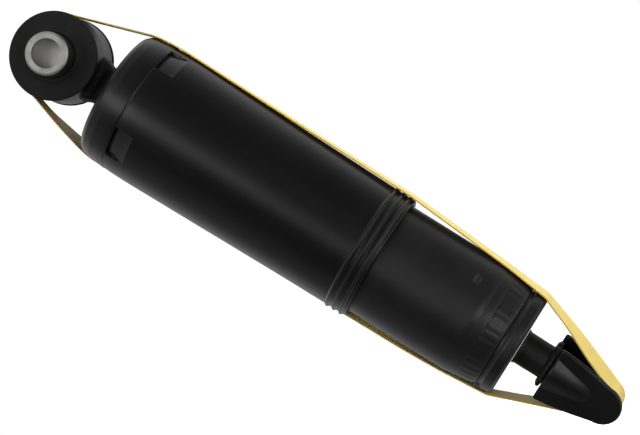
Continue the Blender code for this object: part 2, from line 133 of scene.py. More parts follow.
def fractal(p, seed=0, octaves=3):
    p = np.asarray(p, float)
    total, size = 0.0, 1.0
    for n in range(octaves):
        total = total + noise3(p * (2.0**n), seed + 17 * n) * size
        size *= 0.5
    return total


def smoothstep(a, b, x):
    t = np.clip((np.asarray(x, float) - a) / (b - a), 0.0, 1.0)
    return t * t * (3.0 - 2.0 * t)


# ------------------------------------------------------------------ outlines and grids
def outline(points, closed=True, arc_step=11.0, max_len=None):
    """(r, h, fillet) corners to a dense outline, each corner rounded by its fillet."""
    pts = [(p[0], p[1], p[2] if len(p) > 2 else 0.0) for p in points]
    made = []
    count = len(pts)
    for index, (x, y, f) in enumerate(pts):
        if f <= 0.0 or (not closed and index in (0, count - 1)):
            made.append((x, y))
            continue
        a = np.array(pts[index - 1][:2]) - (x, y)
        b = np.array(pts[(index + 1) % count][:2]) - (x, y)
        la, lb = np.linalg.norm(a), np.linalg.norm(b)
        a, b = a / la, b / lb
        turn = math.acos(max(-1.0, min(1.0, float(a @ b))))
        if turn > math.pi - 0.02:
            made.append((x, y))
            continue
        reach = min(f / math.tan(turn / 2.0), 0.48 * la, 0.48 * lb)
        f = reach * math.tan(turn / 2.0)
        centre = np.array((x, y)) + (a + b) / np.linalg.norm(a + b) * (f / math.sin(turn / 2.0))
        p0, p1 = np.array((x, y)) + a * reach, np.array((x, y)) + b * reach
        a0 = math.atan2(*(p0 - centre)[::-1])
        a1 = math.atan2(*(p1 - centre)[::-1])
        sweep = (a1 - a0 + math.pi) % (2.0 * math.pi) - math.pi
        steps = max(2, int(math.ceil(abs(math.degrees(sweep)) / arc_step)))
        for s in range(steps + 1):
            t = a0 + sweep * s / steps
            made.append((centre[0] + f * math.cos(t), centre[1] + f * math.sin(t)))
    if max_len:
        dense = []
        last = len(made) if closed else len(made) - 1
        for index in range(last):
            p0, p1 = np.array(made[index]), np.array(made[(index + 1) % len(made)])
            pieces = max(1, int(math.ceil(np.linalg.norm(p1 - p0) / max_len)))
            dense += [tuple(p0 + (p1 - p0) * k / pieces) for k in range(pieces)]
        if not closed:
            dense.append(made[-1])
        made = dense
    kept = [made[0]]
    for p in made[1:]:
        if math.dist(p, kept[-1]) > 1e-5:
            kept.append(p)
    return np.array(kept)


def outline_normals(line, closed=True):
    """Outward normals of an outline that runs down its outer side."""
    if closed:
        d = np.roll(line, -1, 0) - np.roll(line, 1, 0)
    else:
        d = np.gradient(line, axis=0)
    d = d / np.maximum(np.linalg.norm(d, axis=1, keepdims=True), 1e-9)
    return np.stack((-d[:, 1], d[:, 0]), 1)


def mesh_object(name, points, faces, finish, sharp=38.0, uvs=None):
    """World millimetre points and faces to an object at the origin, in metres."""
    mesh = bpy.data.meshes.new(name)
    mesh.from_pydata((np.asarray(points, float) * 0.001).tolist(), [], faces)
    if uvs is not None:
        layer = mesh.uv_layers.new(name="UVMap")
        index = np.zeros(len(mesh.loops), np.int32)
        mesh.loops.foreach_get("vertex_index", index)
        layer.data.foreach_set("uv", np.asarray(uvs, np.float32)[index].ravel())
    bm = bmesh.new()
    bm.from_mesh(mesh)
    bmesh.ops.remove_doubles(bm, verts=bm.verts, dist=2e-7)
    bmesh.ops.recalc_face_normals(bm, faces=bm.faces)
    bm.to_mesh(mesh)
    bm.free()
    mesh.materials.append(finish)
    mesh.shade_smooth()
    mesh.set_sharp_from_angle(angle=math.radians(sharp))
    made = bpy.data.objects.new(name, mesh)
    bpy.context.scene.collection.objects.link(made)
    return made


def grid_faces(rows, cols, wrap_rows, wrap_cols, offset=0):
    faces = []
    for i in range(rows if wrap_rows else rows - 1):
        a, b = i * cols, ((i + 1) % rows) * cols
        for j in range(cols if wrap_cols else cols - 1):
            k = (j + 1) % cols
            faces.append((offset + a + j, offset + a + k, offset + b + k, offset + b + j))
    return faces


def lathe(name, line, finish, angles=192, along="Z", centre=0.0, bend=None, closed=True, sharp=38.0):
    """Turns an outline about Z, or about Y at height centre, with bend() moving the points."""
    turns = (
        np.arange(angles) * (2.0 * math.pi / angles) if np.isscalar(angles) else np.radians(angles)
    )
    line = np.asarray(line, float)
    rows, cols = len(line), len(turns)
    r = np.repeat(line[:, :1], cols, 1)
    h = np.repeat(line[:, 1:], cols, 1)
    t = np.repeat(turns[None, :], rows, 0)
    if bend is not None:
        r, h = bend(r, h, t, outline_normals(line, closed))
    r = np.maximum(r, 0.0)
    if along == "Z":
        pts = np.stack((r * np.sin(t), -r * np.cos(t), h), 2)
    else:
        pts = np.stack((r * np.sin(t), h, centre + r * np.cos(t)), 2)
    return mesh_object(
        name, pts.reshape(-1, 3), grid_faces(rows, cols, closed, True), finish, sharp
    )


def fork_frame(points):
    """Points given in the fork's own frame to the row frame."""
    turn = math.radians(FORK_TURN)
    p = np.asarray(points, float)
    return np.stack(
        (
            p[..., 0] * math.cos(turn) - p[..., 1] * math.sin(turn),
            p[..., 0] * math.sin(turn) + p[..., 1] * math.cos(turn),
            p[..., 2],
        ),
        -1,
    )


# ------------------------------------------------------------------ materials
class Graph:
    """A small helper to write a Principled material as a node graph."""

    def __init__(self, name):
        self.material = bpy.data.materials.new(name)
        self.material.use_nodes = True
        self.tree = self.material.node_tree
        self.shader = self.tree.nodes["Principled BSDF"]
        self.coords = self.tree.nodes.new("ShaderNodeTexCoord")
        self.bumped = None

    def node(self, kind, **values):
        made = self.tree.nodes.new(kind)
        for key, value in values.items():
            if key in made.inputs.keys():
                made.inputs[key].default_value = value
            else:
                setattr(made, key, value)
        return made

    def link(self, a, b):
        self.tree.links.new(a, b)

    def space(self, scale=(1.0, 1.0, 1.0), offset=(0.0, 0.0, 0.0), source="Object"):
        made = self.node("ShaderNodeMapping")
        made.inputs["Scale"].default_value = scale
        made.inputs["Location"].default_value = offset
        self.link(self.coords.outputs[source], made.inputs["Vector"])
        return made.outputs["Vector"]

    def noise(self, scale, detail=3.0, rough=0.5, vector=None, distortion=0.0):
        made = self.node("ShaderNodeTexNoise")
        made.inputs["Scale"].default_value = scale
        made.inputs["Detail"].default_value = detail
        made.inputs["Roughness"].default_value = rough
        made.inputs["Distortion"].default_value = distortion
        self.link(vector if vector is not None else self.coords.outputs["Object"], made.inputs["Vector"])
        return made.outputs["Fac"]

    def voronoi(self, scale, vector=None, feature="F1"):
        made = self.node("ShaderNodeTexVoronoi", feature=feature)
        made.inputs["Scale"].default_value = scale
        self.link(vector if vector is not None else self.coords.outputs["Object"], made.inputs["Vector"])
        return made.outputs["Distance"]

    def ramp(self, source, low, high, to_low=0.0, to_high=1.0):
        made = self.node("ShaderNodeMapRange")
        made.inputs["From Min"].default_value = low
        made.inputs["From Max"].default_value = high
        made.inputs["To Min"].default_value = to_low
        made.inputs["To Max"].default_value = to_high
        made.clamp = True
        self.link(source, made.inputs["Value"])
        return made.outputs["Result"]

    def math(self, operation, a, b=None, clamp=False):
        made = self.node("ShaderNodeMath", operation=operation)
        made.use_clamp = clamp
        for slot, value in enumerate((a, b)):
            if value is None:
                continue
            if isinstance(value, (int, float)):
                made.inputs[slot].default_value = value
            else:
                self.link(value, made.inputs[slot])
        return made.outputs[0]

    def mix(self, factor, a, b):
        made = self.node("ShaderNodeMix", data_type="RGBA")
        if isinstance(factor, (int, float)):
            made.inputs[0].default_value = factor
        else:
            self.link(factor, made.inputs[0])
        for slot, value in ((6, a), (7, b)):
            if isinstance(value, tuple):
                made.inputs[slot].default_value = (*value, 1.0) if len(value) == 3 else value
            else:
                self.link(value, made.inputs[slot])
        return made.outputs[2]

    def colour(self, source):
        self.link(source, self.shader.inputs["Base Color"])

    def roughness(self, source):
        self.link(source, self.shader.inputs["Roughness"])

    def bump(self, height, distance, strength=1.0):
        """Adds a bump whose height, from 0 to 1, stands for the given distance in metres."""
        made = self.node("ShaderNodeBump")
        made.inputs["Strength"].default_value = strength
        made.inputs["Distance"].default_value = distance
        self.link(height, made.inputs["Height"])
        if self.bumped is not None:
            self.link(self.bumped, made.inputs["Normal"])
        self.bumped = made.outputs["Normal"]
        self.link(self.bumped, self.shader.inputs["Normal"])

    def set(self, **values):
        for key, value in values.items():
            self.shader.inputs[key.replace("_", " ")].default_value = value

    def edges(self, low=0.52, high=0.6):
        """Where the mesh is convex: 0 on flats, 1 on edges."""
        geometry = self.node("ShaderNodeNewGeometry")
        return self.ramp(geometry.outputs["Pointiness"], low, high)

    def radius_from(self, x, z):
        """Distance from the line through (x, *, z) along Y, in metres."""
        shifted = self.space(offset=(-x, 0.0, -z))
        flat = self.node("ShaderNodeVectorMath", operation="MULTIPLY")
        flat.inputs[1].default_value = (1.0, 0.0, 1.0)
        self.link(shifted, flat.inputs[0])
        length = self.node("ShaderNodeVectorMath", operation="LENGTH")
        self.link(flat.outputs["Vector"], length.inputs[0])
        return length.outputs["Value"]


def black_paint(name, base=(0.011, 0.011, 0.012), rough=(0.38, 0.52), peel=0.00003):
    """Sprayed or dipped black paint: orange peel, dust nibs, faint chalky scuffs, and convex edges made lighter,
    partly as rubbed paint and partly as a painted highlight.
    """
    g = Graph(name)
    cloud = g.noise(70.0, 4.0, 0.6)
    scuff = g.ramp(
        g.noise(420.0, 6.0, 0.7, vector=g.space((1.0, 1.0, 0.18))), 0.6, 0.78
    )
    dust = g.ramp(g.voronoi(900.0), 0.0, 0.11, 1.0, 0.0)
    specks = g.math("MULTIPLY", dust, g.ramp(g.noise(160.0, 2.0), 0.55, 0.7))
    tone = g.mix(cloud, base, tuple(c * 1.7 for c in base))
    tone = g.mix(g.math("MULTIPLY", scuff, 0.04), tone, (0.07, 0.07, 0.072))
    tone = g.mix(g.math("MULTIPLY", specks, 0.08), tone, (0.11, 0.11, 0.11))
    # convex edges lighter: partly rubbed paint, partly a painted highlight along the edges
    tone = g.mix(g.math("MULTIPLY", g.edges(0.57, 0.7), 0.12), tone, (0.075, 0.075, 0.078))
    g.colour(tone)
    g.roughness(
        g.math("ADD", g.ramp(cloud, 0.3, 0.7, rough[0], rough[1]), g.math("MULTIPLY", scuff, 0.12))
    )
    g.bump(g.noise(650.0, 2.0, 0.5), peel)
    g.bump(g.noise(3200.0, 2.0, 0.6), peel * 0.3)
    g.bump(specks, 0.00004)
    g.set(IOR=1.34)
    return g.material


def dust_plastic():
    """Moulded polypropylene: fine grain, faint flow lines down the draft, handling marks."""
    g = Graph("dust_tube_plastic_fine")
    flow = g.noise(1.0, 4.0, 0.6, vector=g.space((260.0, 260.0, 9.0)))
    cloud = g.noise(45.0, 3.0, 0.5)
    scratch = g.ramp(g.noise(1.0, 5.0, 0.75, vector=g.space((900.0, 900.0, 60.0))), 0.66, 0.8)
    across = g.ramp(g.noise(1.0, 5.0, 0.75, vector=g.space((70.0, 70.0, 1100.0))), 0.68, 0.82)
    marks = g.math("MAXIMUM", scratch, across)
    tone = g.mix(g.ramp(cloud, 0.3, 0.7), (0.0017, 0.0017, 0.0019), (0.0027, 0.0027, 0.003))
    tone = g.mix(g.math("MULTIPLY", marks, 0.04), tone, (0.06, 0.06, 0.062))
    # painted highlight: convex edges of the moulding made lighter
    tone = g.mix(g.math("MULTIPLY", g.edges(0.58, 0.7), 0.14), tone, (0.06, 0.06, 0.062))
    g.colour(tone)
    g.roughness(
        g.math("ADD", g.ramp(flow, 0.3, 0.7, 0.3, 0.36), g.math("MULTIPLY", marks, 0.1))
    )
    g.bump(g.noise(2600.0, 2.0, 0.6), 0.000018)
    g.bump(flow, 0.00001)
    g.set(IOR=1.34)
    return g.material


def bush_rubber():
    """Moulded rubber: matte, faintly bloomed, with fine turning rings from its mould."""
    g = Graph("bush_rubber_fine")
    radius = g.radius_from(0.0, EYE_Z * 0.001)
    rings = g.node("ShaderNodeMath", operation="SINE")
    g.link(g.math("MULTIPLY", radius, 2.0 * math.pi / 0.00055), rings.inputs[0])
    cloud = g.noise(150.0, 5.0, 0.65)
    bloom = g.ramp(cloud, 0.42, 0.75)
    pores = g.ramp(g.voronoi(1500.0), 0.0, 0.25, 1.0, 0.0)
    tone = g.mix(bloom, (0.0034, 0.0033, 0.0032), (0.0075, 0.0073, 0.007))
    tone = g.mix(g.math("MULTIPLY", g.ramp(g.noise(900.0, 3.0, 0.6), 0.6, 0.75), 0.12), tone, (0.05, 0.049, 0.047))
    g.colour(tone)
    g.roughness(g.ramp(cloud, 0.3, 0.7, 0.62, 0.82))
    g.bump(g.ramp(rings.outputs[0], -1.0, 1.0), 0.000012)
    g.bump(g.noise(1300.0, 4.0, 0.6), 0.00006)
    g.bump(pores, 0.00002, 0.5)
    g.set(IOR=1.5, Specular_IOR_Level=0.2)
    return g.material


def turned_steel(name, base, dark, rough=(0.26, 0.42), centre=None, pitch=0.00022, groove=0.000006, side=None):
    """Metal with turning marks: rings about the eye's axis, or about Z."""
    g = Graph(name)
    if centre is not None:
        radius = g.radius_from(0.0, centre)
        split = g.node("ShaderNodeSeparateXYZ")
        g.link(g.coords.outputs["Object"], split.inputs[0])
        travel = g.math("ADD", radius, split.outputs["Y"])
    else:
        split = g.node("ShaderNodeSeparateXYZ")
        g.link(g.coords.outputs["Object"], split.inputs[0])
        travel = split.outputs["Z"]
    wobble = g.math("MULTIPLY", g.noise(500.0, 2.0), pitch * 1.6)
    wave = g.node("ShaderNodeMath", operation="SINE")
    g.link(g.math("MULTIPLY", g.math("ADD", travel, wobble), 2.0 * math.pi / pitch), wave.inputs[0])
    cloud = g.noise(260.0, 5.0, 0.65)
    stain = g.ramp(g.noise(620.0, 4.0, 0.7), 0.56, 0.74)
    tone = g.mix(g.ramp(cloud, 0.3, 0.75), base, tuple(c * 0.82 for c in base))
    tone = g.mix(g.math("MULTIPLY", stain, 0.45), tone, dark)
    if side is not None:
        # painted light: the bore wall is made lighter than the rest of the sleeve, standing for its lit inside
        tone = g.mix(g.ramp(radius, 0.0061, 0.0063, 0.8, 0.0), tone, (0.62, 0.61, 0.59))
        # painted shade: the outside of the sleeve, up to its chamfer, is darkened to stand for its shaded side
        tone = g.mix(g.ramp(radius, side - 0.00018, side - 0.00005), tone, (0.085, 0.083, 0.08))
    g.colour(tone)
    g.roughness(
        g.math("ADD", g.ramp(cloud, 0.3, 0.7, rough[0], rough[1]), g.math("MULTIPLY", stain, 0.1))
    )
    g.bump(g.ramp(wave.outputs[0], -1.0, 1.0), groove)
    g.bump(g.noise(2200.0, 3.0, 0.6), 0.000008)
    g.set(Metallic=1.0)
    return g.material


def chrome():
    g = Graph("chromed_rod_fine")
    lines = g.noise(1.0, 5.0, 0.7, vector=g.space((900.0, 900.0, 26000.0)))
    haze = g.ramp(g.noise(90.0, 3.0), 0.45, 0.8)
    g.colour(g.mix(haze, (0.80, 0.81, 0.82), (0.70, 0.71, 0.73)))
    g.roughness(g.math("ADD", g.ramp(lines, 0.3, 0.7, 0.07, 0.16), g.math("MULTIPLY", haze, 0.05)))
    g.bump(lines, 0.000002)
    g.set(Metallic=1.0)
    return g.material


def sintered():
    g = Graph("sintered_iron_fine")
    grain = g.voronoi(3800.0)
    pores = g.ramp(grain, 0.0, 0.22, 1.0, 0.0)
    tone = g.mix(g.noise(500.0, 4.0, 0.6), (0.20, 0.20, 0.205), (0.31, 0.31, 0.315))
    g.colour(g.mix(pores, tone, (0.05, 0.048, 0.045)))
    g.roughness(g.ramp(g.noise(700.0, 3.0), 0.3, 0.7, 0.5, 0.72))
    g.bump(grain, 0.00003)
    g.set(Metallic=1.0)
    return g.material


def spring_steel():
    g = Graph("spring_steel_fine")
    temper = g.ramp(g.noise(140.0, 3.0, 0.5), 0.35, 0.7)
    g.colour(g.mix(temper, (0.36, 0.39, 0.46), (0.48, 0.45, 0.42)))
    g.roughness(g.ramp(g.noise(1.0, 4.0, 0.7, vector=g.space((3000.0, 300.0, 300.0))), 0.3, 0.7, 0.24, 0.38))
    g.bump(g.noise(2500.0, 2.0), 0.000004)
    g.set(Metallic=1.0)
    return g.material


def plain_fine(name, a, b, rough, bump, scale=1200.0, metallic=0.0):
    g = Graph(name)
    cloud = g.noise(scale * 0.12, 4.0, 0.6)
    g.colour(g.mix(g.ramp(cloud, 0.3, 0.7), a, b))
    g.roughness(g.ramp(g.noise(scale * 0.4, 3.0), 0.3, 0.7, rough[0], rough[1]))
    g.bump(g.noise(scale, 3.0, 0.6), bump)
    g.set(Metallic=metallic)
    return g.material


def weld_paint():
    """Painted weld metal: rough, very dark, with soot and spatter."""
    g = Graph("weld_black_fine")
    cloud = g.noise(400.0, 5.0, 0.7)
    grit = g.voronoi(1400.0)
    tone = g.mix(cloud, (0.0006, 0.0006, 0.0006), (0.002, 0.0019, 0.0018))
    # painted highlight: the convex ridges of the bead made lighter
    g.colour(g.mix(g.math("MULTIPLY", g.edges(0.54, 0.66), 0.12), tone, (0.05, 0.048, 0.045)))
    g.roughness(g.ramp(cloud, 0.3, 0.7, 0.5, 0.8))
    g.bump(g.noise(1500.0, 4.0, 0.65), 0.0001)
    g.bump(grit, 0.00005)
    g.set(IOR=1.4)
    return g.material


def strap_plastic():
    """Polypropylene strapping: embossed waffle, slightly see-through, with drawn fibres along it."""
    g = Graph("strap_plastic_fine")
    split = g.node("ShaderNodeSeparateXYZ")
    g.link(g.coords.outputs["UV"], split.inputs[0])
    u, v = split.outputs["X"], split.outputs["Y"]  # millimetres along and across
    cells = []
    for a, b in ((1.0, 1.0), (1.0, -1.0)):
        run = g.math("ADD", g.math("MULTIPLY", u, a), g.math("MULTIPLY", v, b))
        wave = g.node("ShaderNodeMath", operation="SINE")
        g.link(g.math("MULTIPLY", run, 2.0 * math.pi / 1.9), wave.inputs[0])
        cells.append(g.ramp(wave.outputs[0], -1.0, 1.0))
    waffle = g.ramp(g.math("MULTIPLY", cells[0], cells[1]), 0.05, 0.6)
    uv = g.space((1.0, 1.0, 1.0), source="UV")
    fibres_at = g.node("ShaderNodeMapping")
    fibres_at.inputs["Scale"].default_value = (0.12, 6.0, 1.0)
    g.link(uv, fibres_at.inputs["Vector"])
    fibres = g.noise(1.0, 5.0, 0.7, vector=fibres_at.outputs["Vector"])
    cloud = g.noise(120.0, 3.0)
    tone = g.mix(g.ramp(fibres, 0.3, 0.7), (0.62, 0.465, 0.105), (0.78, 0.62, 0.19))
    tone = g.mix(g.ramp(cloud, 0.4, 0.8, 0.0, 0.3), tone, (0.45, 0.34, 0.10))
    # painted shade: the low cells of the embossed waffle are darkened
    tone = g.mix(g.ramp(waffle, 0.0, 1.0, 0.16, 0.0), tone, (0.38, 0.28, 0.07))
    # painted shade: the inner face is darkened towards brown, and the cut edges are darkened to dark brown
    outer = g.ramp(v, 9.0, 11.0)
    tone = g.mix(g.ramp(outer, 0.0, 1.0, 0.55, 0.0), tone, (0.46, 0.29, 0.055))
    # painted shade along the strap's two cut edges
    local = g.math("ABSOLUTE", g.math("SUBTRACT", v, g.math("MULTIPLY", outer, 20.0)))
    tone = g.mix(g.ramp(local, 5.45, 5.7, 0.0, 0.8), tone, (0.13, 0.085, 0.02))
    g.colour(tone)
    g.roughness(g.ramp(fibres, 0.3, 0.7, 0.42, 0.56))
    g.bump(waffle, 0.00003)
    g.bump(fibres, 0.000008)
    g.set(IOR=1.28, Transmission_Weight=0.0)
    g.set(Subsurface_Weight=0.12, Subsurface_Scale=0.001)
    return g.material


PAINT_TUBE = black_paint("black_paint_tube", base=(0.0034, 0.0034, 0.0035), rough=(0.36, 0.43))
PAINT_RING = black_paint("black_paint_ring", base=(0.003, 0.003, 0.003), rough=(0.4, 0.5))
PAINT_FORK = black_paint("black_paint_fork", base=(0.0018, 0.0018, 0.0019), rough=(0.32, 0.4))
PAINT_STEM = black_paint("black_paint_stem", base=(0.0016, 0.0016, 0.0016), rough=(0.5, 0.62), peel=0.00005)
WELD = weld_paint()
DUST = dust_plastic()
RUBBER = bush_rubber()
ZINC = turned_steel(
    "zinc_steel_fine", (0.31, 0.31, 0.305), (0.19, 0.185, 0.175), (0.4, 0.52), centre=EYE_Z * 0.001, side=SLEEVE_R * 0.001
)
STRAP = strap_plastic()
INNER = {
    "chromed_rod": chrome(),
    "bare_steel": turned_steel("bare_steel_fine", (0.52, 0.52, 0.52), (0.3, 0.28, 0.26), (0.3, 0.46)),
    "spring_steel": spring_steel(),
    "sintered_iron": sintered(),
    "band_plastic": plain_fine("band_plastic_fine", (0.15, 0.095, 0.055), (0.2, 0.13, 0.08), (0.4, 0.6), 0.00002),
    "guide_bronze": turned_steel("guide_bronze_fine", (0.55, 0.38, 0.2), (0.3, 0.2, 0.11), (0.3, 0.45)),
    "seal_rubber": plain_fine("seal_rubber_fine", (0.018, 0.018, 0.02), (0.03, 0.03, 0.033), (0.5, 0.7), 0.00003),
}
SLOT_OF = {row["node"]: row["material_slot"] for row in frame["record"]["subparts"]}
for name, node in NODES.items():
    if SLOT_OF.get(name) in INNER:
        node.data.materials.clear()
        node.data.materials.append(INNER[SLOT_OF[name]])


def stands_for(piece, node, body):
    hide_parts(node)
    if body is not None:
        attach(piece, body)
    return piece


# ------------------------------------------------------------------ dust tube
def dust_radius(z):
    """Outer radius of the dust tube without its band and beads."""
    knots_z = (109.0, 135.5, 178.0, 216.0, 226.0, 232.0, 237.0, 240.2, 241.7)
    knots_r = (28.0, 28.4, 29.2, 29.86, 29.9, 29.6, 29.1, 28.4, 27.2)
    return np.interp(z, knots_z, knots_r)


def soft_dust_radius(z):
    """The same with its knots rounded off, never outside it."""
    z = np.asarray(z, float)
    total = sum(dust_radius(z + d) for d in (-1.2, -0.6, 0.0, 0.6, 1.2)) / 5.0
    return np.minimum(total, dust_radius(z) + 0.02)


def make_dust_tube():
    # outer side, from the top down: (radius, height), then the inner side upwards
    outer = outline(
        [
            (DUST_HOLE_R, DUST_TOP, 0.4),
            (26.7, DUST_TOP, 1.4),
            (28.35, 239.9, 2.6),
            (29.15, 236.4, 4.0),
            (29.6, 232.0, 5.0),
            (29.78, BAND_TOP + 0.25, 0.0),
        ],
        closed=False,
        arc_step=6.0,
        max_len=1.2,
    )
    rows = [tuple(p) for p in outer[:-1]]
    rim_rows = [BAND_TOP + 0.3, BAND_TOP + 0.1, BAND_TOP - 0.1, BAND_TOP - 0.18]
    for z, dr in zip(rim_rows, (0.0, -0.03, -0.12, -BAND_DEPTH)):
        rows.append((29.78 + dr, z))
    marks = [BAND_TOP - 0.32, BAND_TOP - 0.4, BAND_TOP - 0.46, BAND_TOP - 0.6]
    marks += list(np.arange(BAND_TOP - 0.9, BAND_LOW - 0.9, -0.3))
    for z in marks:
        step = max(0.0, min(1.0, (z - BAND_LOW) / (BAND_TOP - BAND_LOW)))
        rows.append((float(soft_dust_radius(z)) - BAND_DEPTH * step, z))
    for z in np.arange(BAND_LOW - 1.6, 124.0, -3.0):
        rows.append((float(soft_dust_radius(z)), z))
    first = 118.0
    for z in np.arange(122.4, DUST_OPEN + 0.55, -0.16):
        r = float(dust_radius(z))
        for index in range(3):
            middle = first - BEAD_PITCH * index
            off = (z - middle) / 1.05
            if abs(off) < 1.0:
                r += BEAD_R * math.cos(off * math.pi / 2.0) ** 0.85
        rows.append((r, z))
    rows += [
        (27.95, DUST_OPEN + 0.4),
        (27.85, DUST_OPEN + 0.15),
        (27.6, DUST_OPEN),
        (26.6, DUST_OPEN),
        (26.3, DUST_OPEN + 0.15),
        (26.2, DUST_OPEN + 0.5),
    ]
    n_outer = len(rows)
    inner = [(float(dust_radius(z)) - DUST_WALL, z) for z in np.arange(114.0, 238.0, 8.0)]
    inner += [(25.6, DUST_TOP - 2.2), (DUST_HOLE_R, DUST_TOP - 2.2)]
    rows += inner
    line = np.array(rows)

    # columns: even steps, with close pairs at each pocket's two sides
    turns = set(np.round(np.arange(0.0, 360.0, 1.25), 4))
    centres = [POCKET_ANGLE + 90.0 * n for n in range(4)]
    for centre in centres:
        for side in (-1.0, 1.0):
            for extra in (-0.75, -0.35, -0.12, 0.12, 0.35, 0.75):
                turns.add(round((centre + side * (POCKET_HALF + extra)) % 360.0, 4))
    turns = np.array(sorted(turns))
    keep = np.concatenate(([True], np.diff(turns) > 0.05))
    turns = turns[keep]

    def bend(r, h, t, normals):
        deg = np.degrees(t)
        outside = (np.arange(len(line)) < n_outer)[:, None]
        for centre in centres:
            away = np.abs((deg - centre + 180.0) % 360.0 - 180.0)
            # a pocket narrows a little towards its lower end
            half = POCKET_HALF - 0.06 * (BAND_TOP - h)
            inside = smoothstep(half + 0.26, half - 0.26, away)
            across = smoothstep(BAND_TOP - 0.33, BAND_TOP - 0.47, h)
            along = (BAND_TOP - 0.4 - h) / (BAND_TOP - 0.4 - BAND_LOW)
            depth = 1.78 * np.clip(1.0 - along, 0.0, 1.0) ** 0.85
            floor = soft_dust_radius(h) - depth
            low = np.minimum(r, floor)
            zone = (h > BAND_LOW - 0.4) & (h < BAND_TOP - 0.3) & outside & (r > 27.0)
            r = np.where(zone, r + (low - r) * inside * across, r)
        # a parting line of the mould and a barely uneven wall
        uneven = fractal(
            np.stack((np.sin(t) * 2.2, np.cos(t) * 2.2, h * 0.03), 2), seed=3, octaves=2
        )
        r = np.where(outside, r - 0.035 * (1.0 + uneven), r)
        for seam in (97.0, 277.0):
            off = np.abs((deg - seam + 180.0) % 360.0 - 180.0)
            line_at = np.exp(-((off / 0.35) ** 2))
            r = np.where(outside & (h < BAND_LOW) & (h > DUST_OPEN + 0.6), r + 0.045 * line_at, r)
        return r, h

    return lathe("dust_tube_shell", line, DUST, angles=turns, bend=bend, sharp=50.0)


stands_for(make_dust_tube(), "dust_tube", "rod")


# ------------------------------------------------------------------ upper eye
def make_eye_ring():
    line = outline(
        [
            (EYE_BORE_R, EYE_HALF, 0.2),
            (EYE_R, EYE_HALF, 0.7),
            (EYE_R, -EYE_HALF, 0.7),
            (EYE_BORE_R, -EYE_HALF, 0.2),
        ],
        max_len=1.0,
    )

    def bend(r, h, t, normals):
        uneven = fractal(np.stack((np.sin(t) * 3.0, np.cos(t) * 3.0, h * 0.12), 2), 11, 3)
        outside = r > EYE_R - 0.8
        r = np.where(outside, r - 0.03 * (1.0 + uneven), r)
        return r, h

    return lathe("eye_ring_body", line, PAINT_RING, angles=240, along="Y", centre=EYE_Z, bend=bend)


stands_for(make_eye_ring(), "eye_ring", "rod")


def make_eye_bush():
    """Rubber with a raised collar round the sleeve and lips over the ring's faces."""
    half = [
        (SLEEVE_R + 0.06, LIP_HALF + 1.0, 0.3),
        (SLEEVE_R + 1.0, LIP_HALF + 1.3, 0.8),
        (11.0, LIP_HALF + 1.05, 0.7),
        (11.7, LIP_HALF + 0.15, 0.6),
        (13.2, LIP_HALF - 0.12, 1.5),
        (15.6, LIP_HALF - 0.05, 2.0),
        (18.5, LIP_HALF - 0.02, 0.3),
        (18.9, LIP_HALF - 0.4, 0.3),
        (18.85, EYE_HALF + 0.12, 0.1),
        (EYE_BORE_R - 0.1, EYE_HALF + 0.12, 0.0),
    ]
    mirrored = [(r, -h, f) for r, h, f in reversed(half)]
    line = outline(half + mirrored, arc_step=14.0, max_len=0.8)

    def bend(r, h, t, normals):
        face = smoothstep(LIP_HALF - 1.2, LIP_HALF - 0.3, np.abs(h))
        uneven = fractal(
            np.stack((r * np.sin(t) * 0.16, h * 0.1, r * np.cos(t) * 0.16), 2), seed=5, octaves=3
        )
        grain = fractal(
            np.stack((r * np.sin(t) * 0.9, h, r * np.cos(t) * 0.9), 2), seed=9, octaves=2
        )
        h = h - np.sign(h) * face * (0.07 * (1.0 + uneven) + 0.02 * (1.0 + grain))
        return r, h

    return lathe("eye_bush_body", line, RUBBER, angles=240, along="Y", centre=EYE_Z, bend=bend)


stands_for(make_eye_bush(), "eye_bush", "rod")


def make_eye_sleeve():
    line = outline(
        [
            (SLEEVE_BORE_R, SLEEVE_HALF, 0.0),
            (SLEEVE_BORE_R + 0.35, SLEEVE_HALF, 0.1),
            (SLEEVE_R - 0.75, SLEEVE_HALF, 0.2),
            (SLEEVE_R, SLEEVE_HALF - 0.85, 0.3),
            (SLEEVE_R, -SLEEVE_HALF + 0.85, 0.3),
            (SLEEVE_R - 0.75, -SLEEVE_HALF, 0.2),
            (SLEEVE_BORE_R + 0.35, -SLEEVE_HALF, 0.1),
            (SLEEVE_BORE_R, -SLEEVE_HALF, 0.0),
        ],
        max_len=1.5,
    )
    # chamfer the bore's two mouths
    line[:, 0] = np.where(
        (np.abs(np.abs(line[:, 1]) - SLEEVE_HALF) < 1e-6) & (line[:, 0] < SLEEVE_BORE_R + 0.05),
        SLEEVE_BORE_R + 0.3,
        line[:, 0],
    )

    def bend(r, h, t, normals):
        end = smoothstep(SLEEVE_HALF - 1.2, SLEEVE_HALF - 0.1, np.abs(h))
        nick = fractal(
            np.stack((np.sin(t) * 5.0, np.cos(t) * 5.0, h * 0.5), 2), seed=21, octaves=3
        )
        rim = smoothstep(SLEEVE_R - 0.9, SLEEVE_R - 0.2, r)
        r = r - 0.03 * end * rim * (1.0 + nick)
        return r, h

    return lathe("eye_sleeve_body", line, ZINC, angles=160, along="Y", centre=EYE_Z, bend=bend)


stands_for(make_eye_sleeve(), "eye_sleeve", "sleeve")


